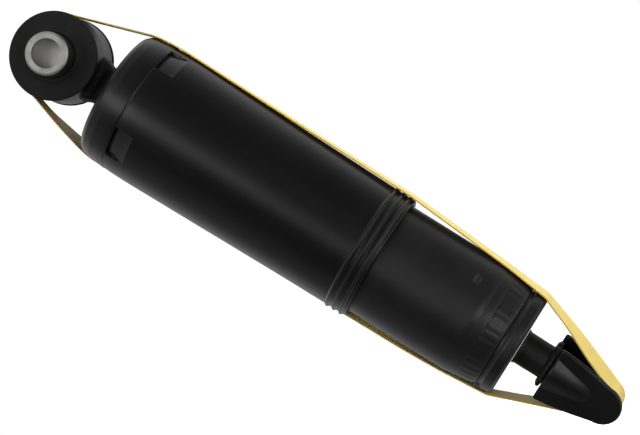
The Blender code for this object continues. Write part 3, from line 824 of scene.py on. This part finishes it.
def make_eye_weld():
    """Shank under the ring, its top saddled to the ring with a rippled weld bead."""
    steps, rows = 168, 46
    turns = np.arange(steps) * 2.0 * math.pi / steps
    share = np.linspace(0.0, 1.0, rows)
    pts = []
    reach = EYE_R + 0.05
    for s in share:
        r = 8.75 + 0.15 * s
        toe = float(smoothstep(0.45, 1.0, s))
        r = r + 1.45 * toe
        ripple = np.sin(turns * 21.0 + 2.2 * np.sin(turns * 3.0) + s * 5.0)
        lump = fractal(
            np.stack((np.sin(turns) * 3.2, np.cos(turns) * 3.2, np.full(steps, s * 3.0)), 1), 31, 3
        )
        bead = math.exp(-(((s - 0.78) / 0.13) ** 2))
        radius = r + bead * (0.34 + 0.16 * ripple + 0.12 * lump) + 0.05 * lump
        x = radius * np.sin(turns)
        y = -radius * np.cos(turns)
        top = EYE_Z - np.sqrt(np.maximum(reach**2 - x**2, 0.0))
        low = 241.75
        z = low + (top - low) * s
        pts.append(np.stack((x, y, z), 1))
    outer = np.concatenate(pts)
    # the underside and the saddle close on the rod's bore
    inner_low = np.stack((5.6 * np.sin(turns), -5.6 * np.cos(turns), np.full(steps, 241.75)), 1)
    xi = 5.6 * np.sin(turns)
    inner_top = np.stack(
        (xi, -5.6 * np.cos(turns), EYE_Z - np.sqrt(reach**2 - xi**2)), 1
    )
    all_pts = np.concatenate((outer, inner_top, inner_low))
    faces = grid_faces(rows + 2, steps, True, True)
    return mesh_object("eye_weld_body", all_pts, faces, WELD, sharp=60.0)


stands_for(make_eye_weld(), "eye_weld", "rod")


# ------------------------------------------------------------------ reservoir, base and stem
def reservoir_radius(z):
    return np.interp(
        z,
        (RES_LOW, 49.0, 50.3, 52.1, 56.2, 60.3, 63.2, RES_TOP),
        (23.05, 23.6, 23.95, 24.18, 24.7, 25.1, RES_R, RES_R),
    )


def make_reservoir():
    rows = []
    lip = outline(
        [
            (20.0, RES_TOP - 1.8, 0.2),
            (20.0, RES_TOP, 0.5),
            (RES_R, RES_TOP, 1.6),
            (RES_R, 200.0, 0.0),
        ],
        closed=False,
        max_len=2.0,
    )
    rows += [tuple(p) for p in lip[:-1]]
    for z in np.arange(200.0, 72.0, -4.0):
        rows.append((RES_R, z))
    for z in np.arange(72.0, RES_LOW + 0.2, -0.3):
        soft = sum(reservoir_radius(z + d) for d in (-0.6, -0.3, 0.0, 0.3, 0.6)) / 5.0
        rows.append((float(min(soft, RES_R)), z))
    rows += [(22.98, RES_LOW + 0.12), (22.75, RES_LOW), (22.4, RES_LOW)]
    n_outer = len(rows)
    rows += [(21.5, RES_LOW + 0.2), (22.6, 54.0), (RES_R - RES_WALL, 63.2)]
    rows += [(RES_R - RES_WALL, z) for z in np.arange(75.0, RES_TOP - 2.0, 12.0)]
    rows += [(RES_R - RES_WALL, RES_TOP - 1.8)]
    line = np.array(rows)

    def bend(r, h, t, normals):
        outside = (np.arange(len(line)) < n_outer)[:, None] & (r > 22.0)
        deg = np.degrees(t)
        # press marks: shallow flutes of the segments that closed the end
        flute = 0.5 + 0.5 * np.cos(np.radians(deg * 40.0))
        window = smoothstep(48.9, 50.2, h) * smoothstep(57.4, 56.0, h)
        dent = 0.12 * flute**2 * window
        step = 0.10 * np.exp(-(((h - 56.9) / 0.5) ** 2)) + 0.06 * np.exp(-(((h - 60.6) / 0.6) ** 2))
        uneven = fractal(
            np.stack((np.sin(t) * 2.5, np.cos(t) * 2.5, h * 0.05), 2), seed=41, octaves=3
        )
        r = np.where(outside & (h < 226.0), r - dent - step - 0.025 * (1.0 + uneven), r)
        # a small centre-punch mark in the tube's side
        dx = (deg - 36.5) * math.pi / 180.0 * RES_R
        dz = h - 69.6
        away = np.sqrt((dx / 2.1) ** 2 + (dz / 1.0) ** 2)
        r = np.where(outside, r - 1.0 * np.exp(-(away**2)), r)
        r = np.where(outside, np.minimum(r, RES_R), r)
        return r, h

    turns = np.concatenate(
        (np.arange(0.0, 30.0, 1.0), np.arange(30.0, 47.0, 0.25), np.arange(47.0, 360.0, 1.0))
    )
    return lathe("reservoir_body", line, PAINT_TUBE, angles=turns, bend=bend, sharp=50.0)


stands_for(make_reservoir(), "reservoir_tube", "cylinder")


def make_base_cap():
    line = outline(
        [
            (0.0, 53.0),
            (20.6, 53.0, 0.4),
            (20.6, RES_LOW - GAP, 0.2),
            (22.75, RES_LOW - 0.1, 0.1),
            (22.85, FLANGE_TOP + 0.45, 0.8),
            (FLANGE_R + 0.2, FLANGE_TOP - 0.5, 1.9),
            (FLANGE_R + 0.2, FLANGE_LOW + 1.3, 0.9),
            (FLANGE_R - 1.4, FLANGE_LOW, 0.9),
            (14.0, FLANGE_LOW + 0.02, 0.4),
            (13.0, FLANGE_LOW + 0.18, 0.4),
            (STEM_R + 1.2, FLANGE_LOW + 0.18, 0.8),
            (0.0, FLANGE_LOW + 0.18),
        ],
        closed=False,
        arc_step=9.0,
        max_len=0.9,
    )

    def bend(r, h, t, normals):
        uneven = fractal(np.stack((np.sin(t) * 4.0, np.cos(t) * 4.0, h * 0.4), 2), 51, 3)
        edge = smoothstep(20.0, 23.0, r)
        r = r - 0.045 * edge * (1.0 + uneven)
        return r, h

    return lathe("base_cap_body", line, PAINT_TUBE, angles=240, bend=bend, closed=False, sharp=50.0)


stands_for(make_base_cap(), "base_cap", "cylinder")


def make_stem():
    line = outline(
        [
            (0.0, FLANGE_LOW - 0.1),
            (STEM_R + 0.9, FLANGE_LOW - 0.1, 0.2),
            (STEM_R + 0.55, FLANGE_LOW - 0.7, 0.5),
            (STEM_R + 0.25, FLANGE_LOW - 1.6, 1.0),
            (STEM_R + 0.25, STEM_LOW + 2.4, 0.6),
            (5.4, STEM_LOW, 0.5),
            (0.0, STEM_LOW),
        ],
        closed=False,
        max_len=0.5,
    )

    def bend(r, h, t, normals):
        uneven = fractal(np.stack((np.sin(t) * 3.0, np.cos(t) * 3.0, h * 0.25), 2), 61, 3)
        grain = fractal(np.stack((np.sin(t) * 14.0, np.cos(t) * 14.0, h * 1.7), 2), 63, 2)
        r = np.where(r > 4.0, r - 0.05 * (1.0 + uneven) - 0.025 * grain, r)
        return r, h

    return lathe("stem_body", line, PAINT_STEM, angles=160, bend=bend, closed=False, sharp=55.0)


stands_for(make_stem(), "stem", "cylinder")


def make_fork_weld():
    """Weld bead round the stem at the top of the fork, wider along the plates."""
    steps, rows = 200, 28
    turns = np.arange(steps) * 2.0 * math.pi / steps
    pts = []
    for n in range(rows):
        a = 2.0 * math.pi * n / rows
        wide = 1.75 + 0.32 * np.sin(turns * 17.0 + 2.0 * np.sin(2.0 * turns))
        lump = fractal(
            np.stack((np.sin(turns) * 3.0, np.cos(turns) * 3.0, np.full(steps, 2.0 * math.cos(a))), 1),
            71,
            3,
        )
        middle = 8.85 + 0.1 * lump
        radius = middle + (wide + 0.2 * lump) * math.cos(a) * (1.0 if math.cos(a) > 0 else 0.95)
        radius = np.clip(radius, STEM_R - 0.3, 10.9)
        x = radius * np.sin(turns)
        y = -radius * np.cos(turns) * 0.93
        z = 26.95 + (1.25 + 0.12 * lump) * math.sin(a) - 0.25 * math.cos(a)
        pts.append(np.stack((x, y, z), 1))
    world = fork_frame(np.concatenate(pts))
    return mesh_object("fork_weld_body", world, grid_faces(rows, steps, True, True), WELD, sharp=60.0)


stands_for(make_fork_weld(), "fork_weld", "cylinder")


# ------------------------------------------------------------------ fork
def dart(x, z):
    """Height of the half-conical dart above the flat of the plate."""
    along = (z - DART_END) / (FORK_BASE - DART_END)
    near = np.clip(along / 0.16, 0.0, 1.0)
    half = np.maximum(1.14 * DART_HALF * (0.36 + 0.64 * along) * np.sqrt(near), 1e-6)
    across = np.clip(np.abs(x) / half, 0.0, 1.0)
    crown = 1.45 * DART_HEIGHT * (0.10 + 0.90 * along) * near
    lift = crown * (1.0 - across**1.7) ** 1.1
    return np.where(along <= 0.0, 0.0, lift)


def fork_outline(count):
    """Closed outline of a plate, (x, z), evenly spaced, from the middle of its top edge.

    The side towards -x is cut a little wider at the base.
    """
    lean = math.asin((FORK_HALF - FORK_TIP_R) / math.hypot(FORK_BASE, FORK_HALF - FORK_TIP_R))
    corner = 1.1
    right = [(0.0, FORK_BASE)]
    for n in range(9):
        a = math.radians(90.0 * (1 - n / 8.0))
        right.append(
            (FORK_HALF - corner + corner * math.cos(a), FORK_BASE - corner + corner * math.sin(a))
        )
    # the sides bow out a little between the base and the tip
    for n in range(1, 12):
        t = n / 12.0
        right.append(
            (
                FORK_HALF + (FORK_TIP_R - FORK_HALF) * t + 0.65 * math.sin(math.pi * t),
                (FORK_BASE - corner) * (1.0 - t),
            )
        )
    right.append((FORK_TIP_R, 0.0))
    for n in range(1, 31):
        a = math.radians(90.0 * n / 30.0)
        right.append((FORK_TIP_R * math.cos(a), -FORK_TIP_R * math.sin(a)))
    loop = right + [(-x, z) for x, z in reversed(right[1:-1])]
    loop = np.array(loop + [loop[0]])
    share = np.clip(loop[:, 1] / FORK_BASE, 0.0, 1.0)
    loop[:, 0] = np.where(loop[:, 0] < 0.0, loop[:, 0] * (1.0 + 1.7 / FORK_HALF * share), loop[:, 0])
    gone = np.concatenate(([0.0], np.cumsum(np.linalg.norm(np.diff(loop, axis=0), axis=1))))
    at = np.linspace(0.0, gone[-1], count, endpoint=False)
    return np.stack((np.interp(at, gone, loop[:, 0]), np.interp(at, gone, loop[:, 1])), 1)


def make_fork_plate(name, side, seed):
    """One stamped plate with rolled-over edges: side -1 in front and +1 behind."""
    shift = (0.7, 1.6, -1.9) if side > 0.0 else (0.0, 0.0, 0.0)
    count, rings = 320, 46
    rim = fork_outline(count)
    middle = np.array((0.0, 9.0))
    edge = 1.15
    reach = np.linalg.norm(rim - middle, axis=1, keepdims=True)
    shells = []
    # inner face from its centre out, round the edge, then the outer face back in
    for depth, order in ((0.0, 1), (PLATE_T, -1)):
        face = []
        for n in range(rings):
            share = (n + 0.5) / rings
            face.append((middle + (rim - middle) * (share * (reach - edge) / reach), depth))
        shells.append(face if order == 1 else face[::-1])
    bend_rows = []
    for n in range(1, 6):
        a = math.radians(90.0 * n / 6.0)
        bend_rows.append((edge * (1.0 - math.sin(a)), edge * (1.0 - math.cos(a))))
    around = [(middle + (rim - middle) * ((reach - inset) / reach), d) for inset, d in bend_rows]
    around += [
        (middle + (rim - middle) * ((reach - inset) / reach), PLATE_T - d)
        for inset, d in reversed(bend_rows)
    ]
    layers = shells[0] + around + shells[1]
    pts = []
    for flat, depth in layers:
        x, z = flat[:, 0], flat[:, 1]
        lift = dart(x, z)
        uneven = fractal(np.stack((x * 0.12, z * 0.12, np.full(len(x), depth)), 1), seed, 3)
        y = side * (PLATE_IN + depth + lift - 0.05 * (1.0 + uneven) * (1.0 if depth > 1.0 else -1.0))
        shear = 0.05 * fractal(np.stack((x * 0.5, z * 0.5, np.full(len(x), depth * 2.0)), 1), seed + 3, 2)
        lean = shift[0] + shift[2] * (1.0 - np.clip(z / FORK_BASE, 0.0, 1.0))
        pts.append(np.stack((x + shear * 0.3 + lean, y, z + shear * 0.3 + shift[1]), 1))
    points = np.concatenate(pts)
    rows = len(layers)
    faces = grid_faces(rows, count, False, True)
    centre_in, centre_out = len(points), len(points) + 1
    lift = float(dart(np.array([0.0]), np.array([middle[1]]))[0])
    ends = np.array(
        (
            (shift[0], side * (PLATE_IN + lift), middle[1] + shift[1]),
            (shift[0], side * (PLATE_IN + PLATE_T + lift), middle[1] + shift[1]),
        )
    )
    last = (rows - 1) * count
    for j in range(count):
        k = (j + 1) % count
        faces.append((centre_in, k, j))
        faces.append((centre_out, last + j, last + k))
    world = fork_frame(np.concatenate((points, ends)))
    return mesh_object(name, world, faces, PAINT_FORK, sharp=60.0)


stands_for(make_fork_plate("fork_plate_front_body", -1.0, 81), "fork_plate_front", "cylinder")
stands_for(make_fork_plate("fork_plate_rear_body", 1.0, 91), "fork_plate_rear", "cylinder")


def make_fork_pin():
    line = outline(
        [
            (0.0, PLATE_IN - 0.05),
            (PIN_R - 0.9, PLATE_IN - 0.05, 0.1),
            (PIN_R - 0.6, PLATE_IN - 0.7, 0.4),
            (PIN_R, PLATE_IN - 1.2, 0.5),
            (PIN_R, -PLATE_IN + 1.2, 0.5),
            (PIN_R - 0.6, -PLATE_IN + 0.7, 0.4),
            (PIN_R - 0.9, -PLATE_IN + 0.05, 0.1),
            (0.0, -PLATE_IN + 0.05),
        ],
        closed=False,
        max_len=0.6,
    )
    turns = np.arange(120) * 2.0 * math.pi / 120
    r = np.repeat(line[:, :1], 120, 1)
    h = np.repeat(line[:, 1:], 120, 1)
    t = np.repeat(turns[None, :], len(line), 0)
    uneven = fractal(np.stack((np.sin(t) * 3.0, np.cos(t) * 3.0, h * 0.3), 2), 101, 3)
    r = np.where(r > 3.0, r - 0.04 * (1.0 + uneven), r)
    pts = fork_frame(np.stack((r * np.sin(t), h, r * np.cos(t)), 2).reshape(-1, 3))
    return mesh_object("fork_pin_body", pts, grid_faces(len(line), 120, False, True), PAINT_FORK)


stands_for(make_fork_pin(), "fork_pin", "cylinder")


# ------------------------------------------------------------------ intake springs inside
def make_star_spring(name, r_in, r_mid, r_out, low, high, thick):
    """A weak spring washer: a flat hub whose outer rim is waved down onto its plate."""
    steps = 240
    turns = np.arange(steps) * 2.0 * math.pi / steps
    wave = 0.5 + 0.5 * np.cos(3.0 * turns)
    share = np.concatenate(([0.0, 0.0], np.linspace(0.0, 1.0, 9)))
    radii = np.concatenate(([r_in + 0.05, r_in + 0.6], np.linspace(r_mid, r_out - 0.08, 9)))
    lifts = smoothstep(0.0, 1.0, share) * 0.5 + share * 0.5
    rows = [(r, k, 0.0) for r, k in zip(radii, lifts)]
    rows += [(r_out, 1.0, 0.08), (r_out, 1.0, thick - 0.08)]
    rows += [(r, k, thick) for r, k in zip(radii[::-1], lifts[::-1])]
    rows += [(r_in, 0.0, thick - 0.06), (r_in, 0.0, 0.06)]
    pts = [
        np.stack(
            (
                r * np.cos(turns),
                r * np.sin(turns),
                high - drop - k * wave * (high - low - thick),
            ),
            1,
        )
        for r, k, drop in rows
    ]
    return mesh_object(
        name, np.concatenate(pts), grid_faces(len(rows), steps, True, True), INNER["spring_steel"]
    )


for node, sizes, body, joint in (
    ("piston_check_spring", (ROD_R + 0.3, 7.4, 9.4, 93.4, 95.7, 0.4), "rod", "piston_check_lift"),
    ("foot_check_spring", (2.4, 6.0, 9.6, 64.1, 66.8, 0.4), "cylinder", "foot_check_lift"),
):
    spring = make_star_spring(node + "_body", *sizes)
    stands_for(spring, node, body)
    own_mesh(spring)


# ------------------------------------------------------------------ shipping strap
def hull(points):
    ordered = sorted(set(points))

    def half(run):
        kept = []
        for p in run:
            while len(kept) > 1 and (
                (kept[-1][0] - kept[-2][0]) * (p[1] - kept[-2][1])
                - (kept[-1][1] - kept[-2][1]) * (p[0] - kept[-2][0])
                <= 1e-9
            ):
                kept.pop()
            kept.append(p)
        return kept[:-1]

    return half(ordered) + half(ordered[::-1])


def strap_turn(x, z):
    """How far the strap is turned about the shock's axis, on its two sides."""
    near = np.interp(
        z,
        (-9.0, 0.0, 7.0, 15.0, 23.3, 31.4, 43.6, 60.0, 90.0, 110.0, 139.0, 180.0, 216.0, 245.0, 262.0),
        (-22.0, -23.0, -27.5, -26.0, -20.8, -16.2, -10.5, -7.5, -6.0, -5.0, -3.6, -2.4, -0.2, 0.4, 0.0),
    )
    far = np.interp(
        z,
        (-9.0, 0.0, 7.0, 15.0, 27.4, 39.6, 65.0, 80.0, 98.0, 110.0, 200.0, 226.0, 232.0, 237.0, 243.0, 253.0, 262.0, 280.0),
        (-22.0, -22.5, -21.5, -18.0, -12.5, -9.5, -12.0, -17.0, -24.0, -27.0, -26.0, -24.0, -22.0, -19.5, -15.0, -9.0, -2.0, 0.0),
    )
    return np.where(x > 0.0, near, far)


def strap_loop(step):
    """The taut loop that the strap follows, as even stations (x, z, normal x, normal z, length gone)."""
    touched = []
    for n in range(240):
        turn = 2.0 * math.pi * n / 240
        touched.append(((EYE_R + STRAP_GAP) * math.cos(turn), EYE_Z + (EYE_R + STRAP_GAP) * math.sin(turn)))
        touched.append(((PIN_R + STRAP_GAP) * math.cos(turn), (PIN_R + STRAP_GAP) * math.sin(turn)))
    bearing = [(float(dust_radius(z)), z) for z in (DUST_TOP, 240.2, 237.0, 232.0, 226.0, 216.0)]
    bearing += [(float(dust_radius(z)) + BEAD_R, z) for z in (118.0, 111.4)]
    bearing += [(RES_R, 63.2), (FLANGE_R, FLANGE_TOP), (FLANGE_R, FLANGE_LOW + 1.3)]
    bearing += [(FLANGE_R - 1.3, FLANGE_LOW)]
    for r, z in bearing:
        touched += [(r + STRAP_GAP, z), (-r - STRAP_GAP, z)]
    corners = np.array(hull([(round(x, 5), round(z, 5)) for x, z in touched]))
    closed = np.concatenate((corners, corners[:1]))
    gone = np.concatenate(([0.0], np.cumsum(np.linalg.norm(np.diff(closed, axis=0), axis=1))))
    count = int(gone[-1] / step)
    at = np.linspace(0.0, gone[-1], count, endpoint=False)
    x = np.interp(at, gone, closed[:, 0])
    z = np.interp(at, gone, closed[:, 1])
    # the stiff strap bows out a little where it runs free from the flange to the fork
    free = np.clip((z - 1.0) / 39.0, 0.0, 1.0)
    x = np.where((x > 0.0) & (z > 1.0) & (z < 40.0), x + 0.9 * np.sin(math.pi * free), x)
    d = np.stack((np.roll(x, -1) - np.roll(x, 1), np.roll(z, -1) - np.roll(z, 1)), 1)
    d = d / np.linalg.norm(d, axis=1, keepdims=True)
    return x, z, d[:, 1], -d[:, 0], at


def make_strap():
    """The strap round its whole loop, which strap_length cuts into two lengths that meet at the height SEAM_Z."""
    x, z, nx, nz, at = strap_loop(1.0)
    half = STRAP_W / 2.0
    edge = 0.16
    section = [(-half + 0.12, 0.02)]
    inner = np.linspace(-half + 0.5, half - 0.5, 13)
    section = [(a, 0.0) for a in inner]
    section += [(half - 0.12, 0.06), (half, 0.22), (half, STRAP_T - 0.22), (half - 0.12, STRAP_T - 0.06)]
    section += [(a, STRAP_T) for a in inner[::-1]]
    section += [(-half + 0.12, STRAP_T - 0.06), (-half, STRAP_T - 0.22), (-half, 0.22), (-half + 0.12, 0.06)]
    section = np.array(section)
    count, around = len(x), len(section)
    across = np.repeat(section[None, :, 0], count, 0)
    out = np.repeat(section[None, :, 1], count, 0)
    turn = strap_turn(x, z)
    for _ in range(6):
        turn = (np.roll(turn, 1) + 2.0 * turn + np.roll(turn, -1)) / 4.0
    turn = np.radians(turn)[:, None]
    # the strap's cup between its bearings is set to nothing, and its edge wanders
    free = smoothstep(0.0, 1.0, np.abs(np.sin(at * 0.013)))[:, None]
    cup = 0.0 * free * (np.abs(across) / half) ** 2
    wander = 0.12 * fractal(np.stack((at * 0.02, at * 0.0, at * 0.0), 1), 111, 2)[:, None]
    px = x[:, None] + nx[:, None] * (out + cup)
    pz = z[:, None] + nz[:, None] * (out + cup)
    py = across + wander
    pts = np.stack(
        (px * np.cos(turn) - py * np.sin(turn), px * np.sin(turn) + py * np.cos(turn), pz), 2
    )
    uv = np.stack((np.repeat(at[:, None], around, 1), across + 20.0 * (out > STRAP_T / 2)), 2)
    return pts, uv, z


SEAM_Z = 81.0
strap_pts, strap_uv, strap_z = make_strap()


def strap_length(name, keep):
    """The run of stations where keep is true, closed at its two cut ends."""
    count = len(keep)
    start = next(i for i in range(count) if keep[i] and not keep[i - 1])
    run = []
    index = start
    while keep[index % count] and len(run) < count:
        run.append(index % count)
        index += 1
    run = [(start - 1) % count] + run + [index % count]
    pts = strap_pts[run].copy()
    uv = strap_uv[run].copy()
    # bring both cut ends exactly to the seam's height
    for end, inside in ((0, 1), (-1, -2)):
        za, zb = pts[end][:, 2].mean(), pts[inside][:, 2].mean()
        share = (SEAM_Z - za) / (zb - za)
        pts[end] = pts[end] + (pts[inside] - pts[end]) * share
        uv[end] = uv[end] + (uv[inside] - uv[end]) * share
    rows, cols = pts.shape[:2]
    faces = grid_faces(rows, cols, False, True)
    faces.append(tuple(range(cols)))
    faces.append(tuple(range((rows - 1) * cols, rows * cols))[::-1])
    return mesh_object(
        name, pts.reshape(-1, 3), faces, STRAP, sharp=50.0, uvs=uv.reshape(-1, 2)
    )


lower_strap = strap_length("shipping_strap_lower", strap_z < SEAM_Z)
upper_strap = strap_length("shipping_strap_upper", strap_z >= SEAM_Z)
for piece in (lower_strap, upper_strap):
    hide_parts("shipping_strap")
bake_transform(lower_strap)
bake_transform(upper_strap)


# ------------------------------------------------------------------ studio
def camera():
    azimuth, elevation, roll = math.radians(3.115), math.radians(-6.142), math.radians(-57.969)
    target = Vector((0.00098, 0.0, 0.13987))
    distance = 0.92399
    back = Vector(
        (
            math.sin(azimuth) * math.cos(elevation),
            -math.cos(azimuth) * math.cos(elevation),
            math.sin(elevation),
        )
    )
    forward = -back
    right = forward.cross(Vector((0.0, 0.0, 1.0))).normalized()
    up = right.cross(forward).normalized()
    side = right * math.cos(roll) + up * math.sin(roll)
    top = up * math.cos(roll) - right * math.sin(roll)
    data = bpy.data.cameras.new("camera")
    data.sensor_fit = "HORIZONTAL"
    data.sensor_width = 36.0
    data.lens = 2206.47 * 36.0 / 640.0
    data.clip_start, data.clip_end = 0.01, 50.0
    made = bpy.data.objects.new("camera", data)
    bpy.context.scene.collection.objects.link(made)
    turn = Matrix((side, top, back)).transposed().to_4x4()
    made.matrix_world = Matrix.Translation(target + back * distance) @ turn
    bpy.context.scene.camera = made
    return made


def area(name, place, towards, size, power, colour=(1.0, 1.0, 1.0)):
    data = bpy.data.lights.new(name, "AREA")
    data.shape = "RECTANGLE"
    data.size, data.size_y = size
    data.energy = power
    data.color = colour
    made = bpy.data.objects.new(name, data)
    bpy.context.scene.collection.objects.link(made)
    made.location = place
    made.rotation_mode = "QUATERNION"
    made.rotation_quaternion = (Vector(towards) - Vector(place)).to_track_quat("-Z", "Y")
    return made


def studio():
    scene = bpy.context.scene
    scene.view_settings.view_transform = "Standard"
    scene.view_settings.look = "None"
    scene.view_settings.exposure = 0.0
    scene.view_settings.gamma = 1.0
    world = bpy.data.worlds.new("studio")
    scene.world = world
    world.use_nodes = True
    tree = world.node_tree
    tree.nodes.clear()
    coords = tree.nodes.new("ShaderNodeTexCoord")
    split = tree.nodes.new("ShaderNodeSeparateXYZ")
    tree.links.new(coords.outputs["Generated"], split.inputs[0])

    def ramp(source, a, b, to_a, to_b):
        made = tree.nodes.new("ShaderNodeMapRange")
        for key, value in zip(("From Min", "From Max", "To Min", "To Max"), (a, b, to_a, to_b)):
            made.inputs[key].default_value = value
        tree.links.new(source, made.inputs["Value"])
        return made.outputs["Result"]

    def combine(operation, a, b):
        made = tree.nodes.new("ShaderNodeMath")
        made.operation = operation
        for slot, value in enumerate((a, b)):
            if value is None:
                continue
            if isinstance(value, float):
                made.inputs[slot].default_value = value
            else:
                tree.links.new(value, made.inputs[slot])
        return made.outputs[0]

    # dark in front of the object, bright behind and beside it, brighter above and below
    profile = tree.nodes.new("ShaderNodeValToRGB")
    stops = (
        (0.0, 0.025),
        (0.08, 0.03),
        (0.25, 0.055),
        (0.41, 0.24),
        (0.62, 0.39),
        (0.82, 0.90),
        (0.95, 0.80),
        (1.0, 0.45),
    )
    elements = profile.color_ramp.elements
    elements[0].position, elements[1].position = stops[0][0], stops[-1][0]
    elements[0].color = (stops[0][1], stops[0][1], stops[0][1], 1.0)
    elements[1].color = (stops[-1][1], stops[-1][1], stops[-1][1], 1.0)
    for place, level in stops[1:-1]:
        element = elements.new(place)
        element.color = (level, level, level, 1.0)
    tree.links.new(ramp(split.outputs["Y"], -1.0, 1.0, 0.0, 1.0), profile.inputs[0])
    front = ramp(split.outputs["Y"], 0.3, -0.1, 0.0, 1.0)
    lean = combine("MULTIPLY", split.outputs["X"], combine("SUBTRACT", 0.2, combine("MULTIPLY", front, 0.5)))
    round_about = combine("MULTIPLY", profile.outputs[0], combine("ADD", 1.0, lean))
    above = ramp(split.outputs["Z"], 0.28, 0.55, 0.0, 0.5)
    right = ramp(split.outputs["X"], -0.25, 0.15, 0.12, 1.0)
    below = combine(
        "MULTIPLY", ramp(split.outputs["Z"], -0.2, -0.48, 0.0, 1.5), combine("MULTIPLY", right, front)
    )
    heading = combine("ARCTAN2", split.outputs["X"], combine("MULTIPLY", split.outputs["Y"], -1.0))
    aside = combine("ABSOLUTE", combine("ADD", heading, 0.215), None)
    tall = combine("POWER", ramp(split.outputs["Z"], 0.0, 0.2, 0.0, 1.0), 2.3)
    key = combine("MULTIPLY", ramp(aside, 0.24, 0.07, 0.0, 4.8), tall)
    key = combine("MULTIPLY", key, ramp(split.outputs["Z"], 0.85, 0.6, 0.0, 1.0))
    level = combine("ADD", combine("ADD", round_about, key), combine("ADD", above, below))
    shade = tree.nodes.new("ShaderNodeBackground")
    shade.inputs["Color"].default_value = (1.0, 1.0, 1.0, 1.0)
    tree.links.new(level, shade.inputs["Strength"])
    white = tree.nodes.new("ShaderNodeBackground")
    white.inputs["Color"].default_value = (1.0, 1.0, 1.0, 1.0)
    white.inputs["Strength"].default_value = 1.05
    path = tree.nodes.new("ShaderNodeLightPath")
    mix = tree.nodes.new("ShaderNodeMixShader")
    tree.links.new(path.outputs["Is Camera Ray"], mix.inputs[0])
    tree.links.new(shade.outputs[0], mix.inputs[1])
    tree.links.new(white.outputs[0], mix.inputs[2])
    out = tree.nodes.new("ShaderNodeOutputWorld")
    tree.links.new(mix.outputs[0], out.inputs["Surface"])

    # soft lights high in front and on the strap's side, and a small low one for the fork
    ahead = area("softbox_front", (-0.36, -1.45, 1.2), (0.0, 0.0, 0.16), (0.46, 0.75), 12.0)
    ahead.visible_glossy = False
    beside = area("softbox_side", (0.86, -0.5, 1.13), (0.0, 0.0, 0.14), (0.7, 0.7), 29.0)
    beside.visible_glossy = False
    area("softbox_low", (0.285, -1.13, -0.27), (0.0, 0.0, 0.02), (0.3, 0.2), 2.4)

    floor = bpy.data.meshes.new("floor")
    half = 6.0
    floor.from_pydata(
        [(-half, -half, 0.0), (half, -half, 0.0), (half, half, 0.0), (-half, half, 0.0)],
        [],
        [(0, 1, 2, 3)],
    )
    g = Graph("floor_white")
    g.colour(g.mix(g.noise(3.0, 2.0), (0.86, 0.86, 0.86), (0.88, 0.88, 0.88)))
    g.set(Roughness=0.95, Specular_IOR_Level=0.0)
    g.shader.inputs["Emission Color"].default_value = (1.0, 1.0, 1.0, 1.0)
    g.shader.inputs["Emission Strength"].default_value = 0.75
    floor.materials.append(g.material)
    made = bpy.data.objects.new("floor", floor)
    made.location = (0.0, 0.0, -0.0095)
    bpy.context.scene.collection.objects.link(made)
    made.visible_glossy = False
    made.visible_diffuse = False
    made.visible_shadow = False


camera()
studio()

bpy.context.view_layer.update()
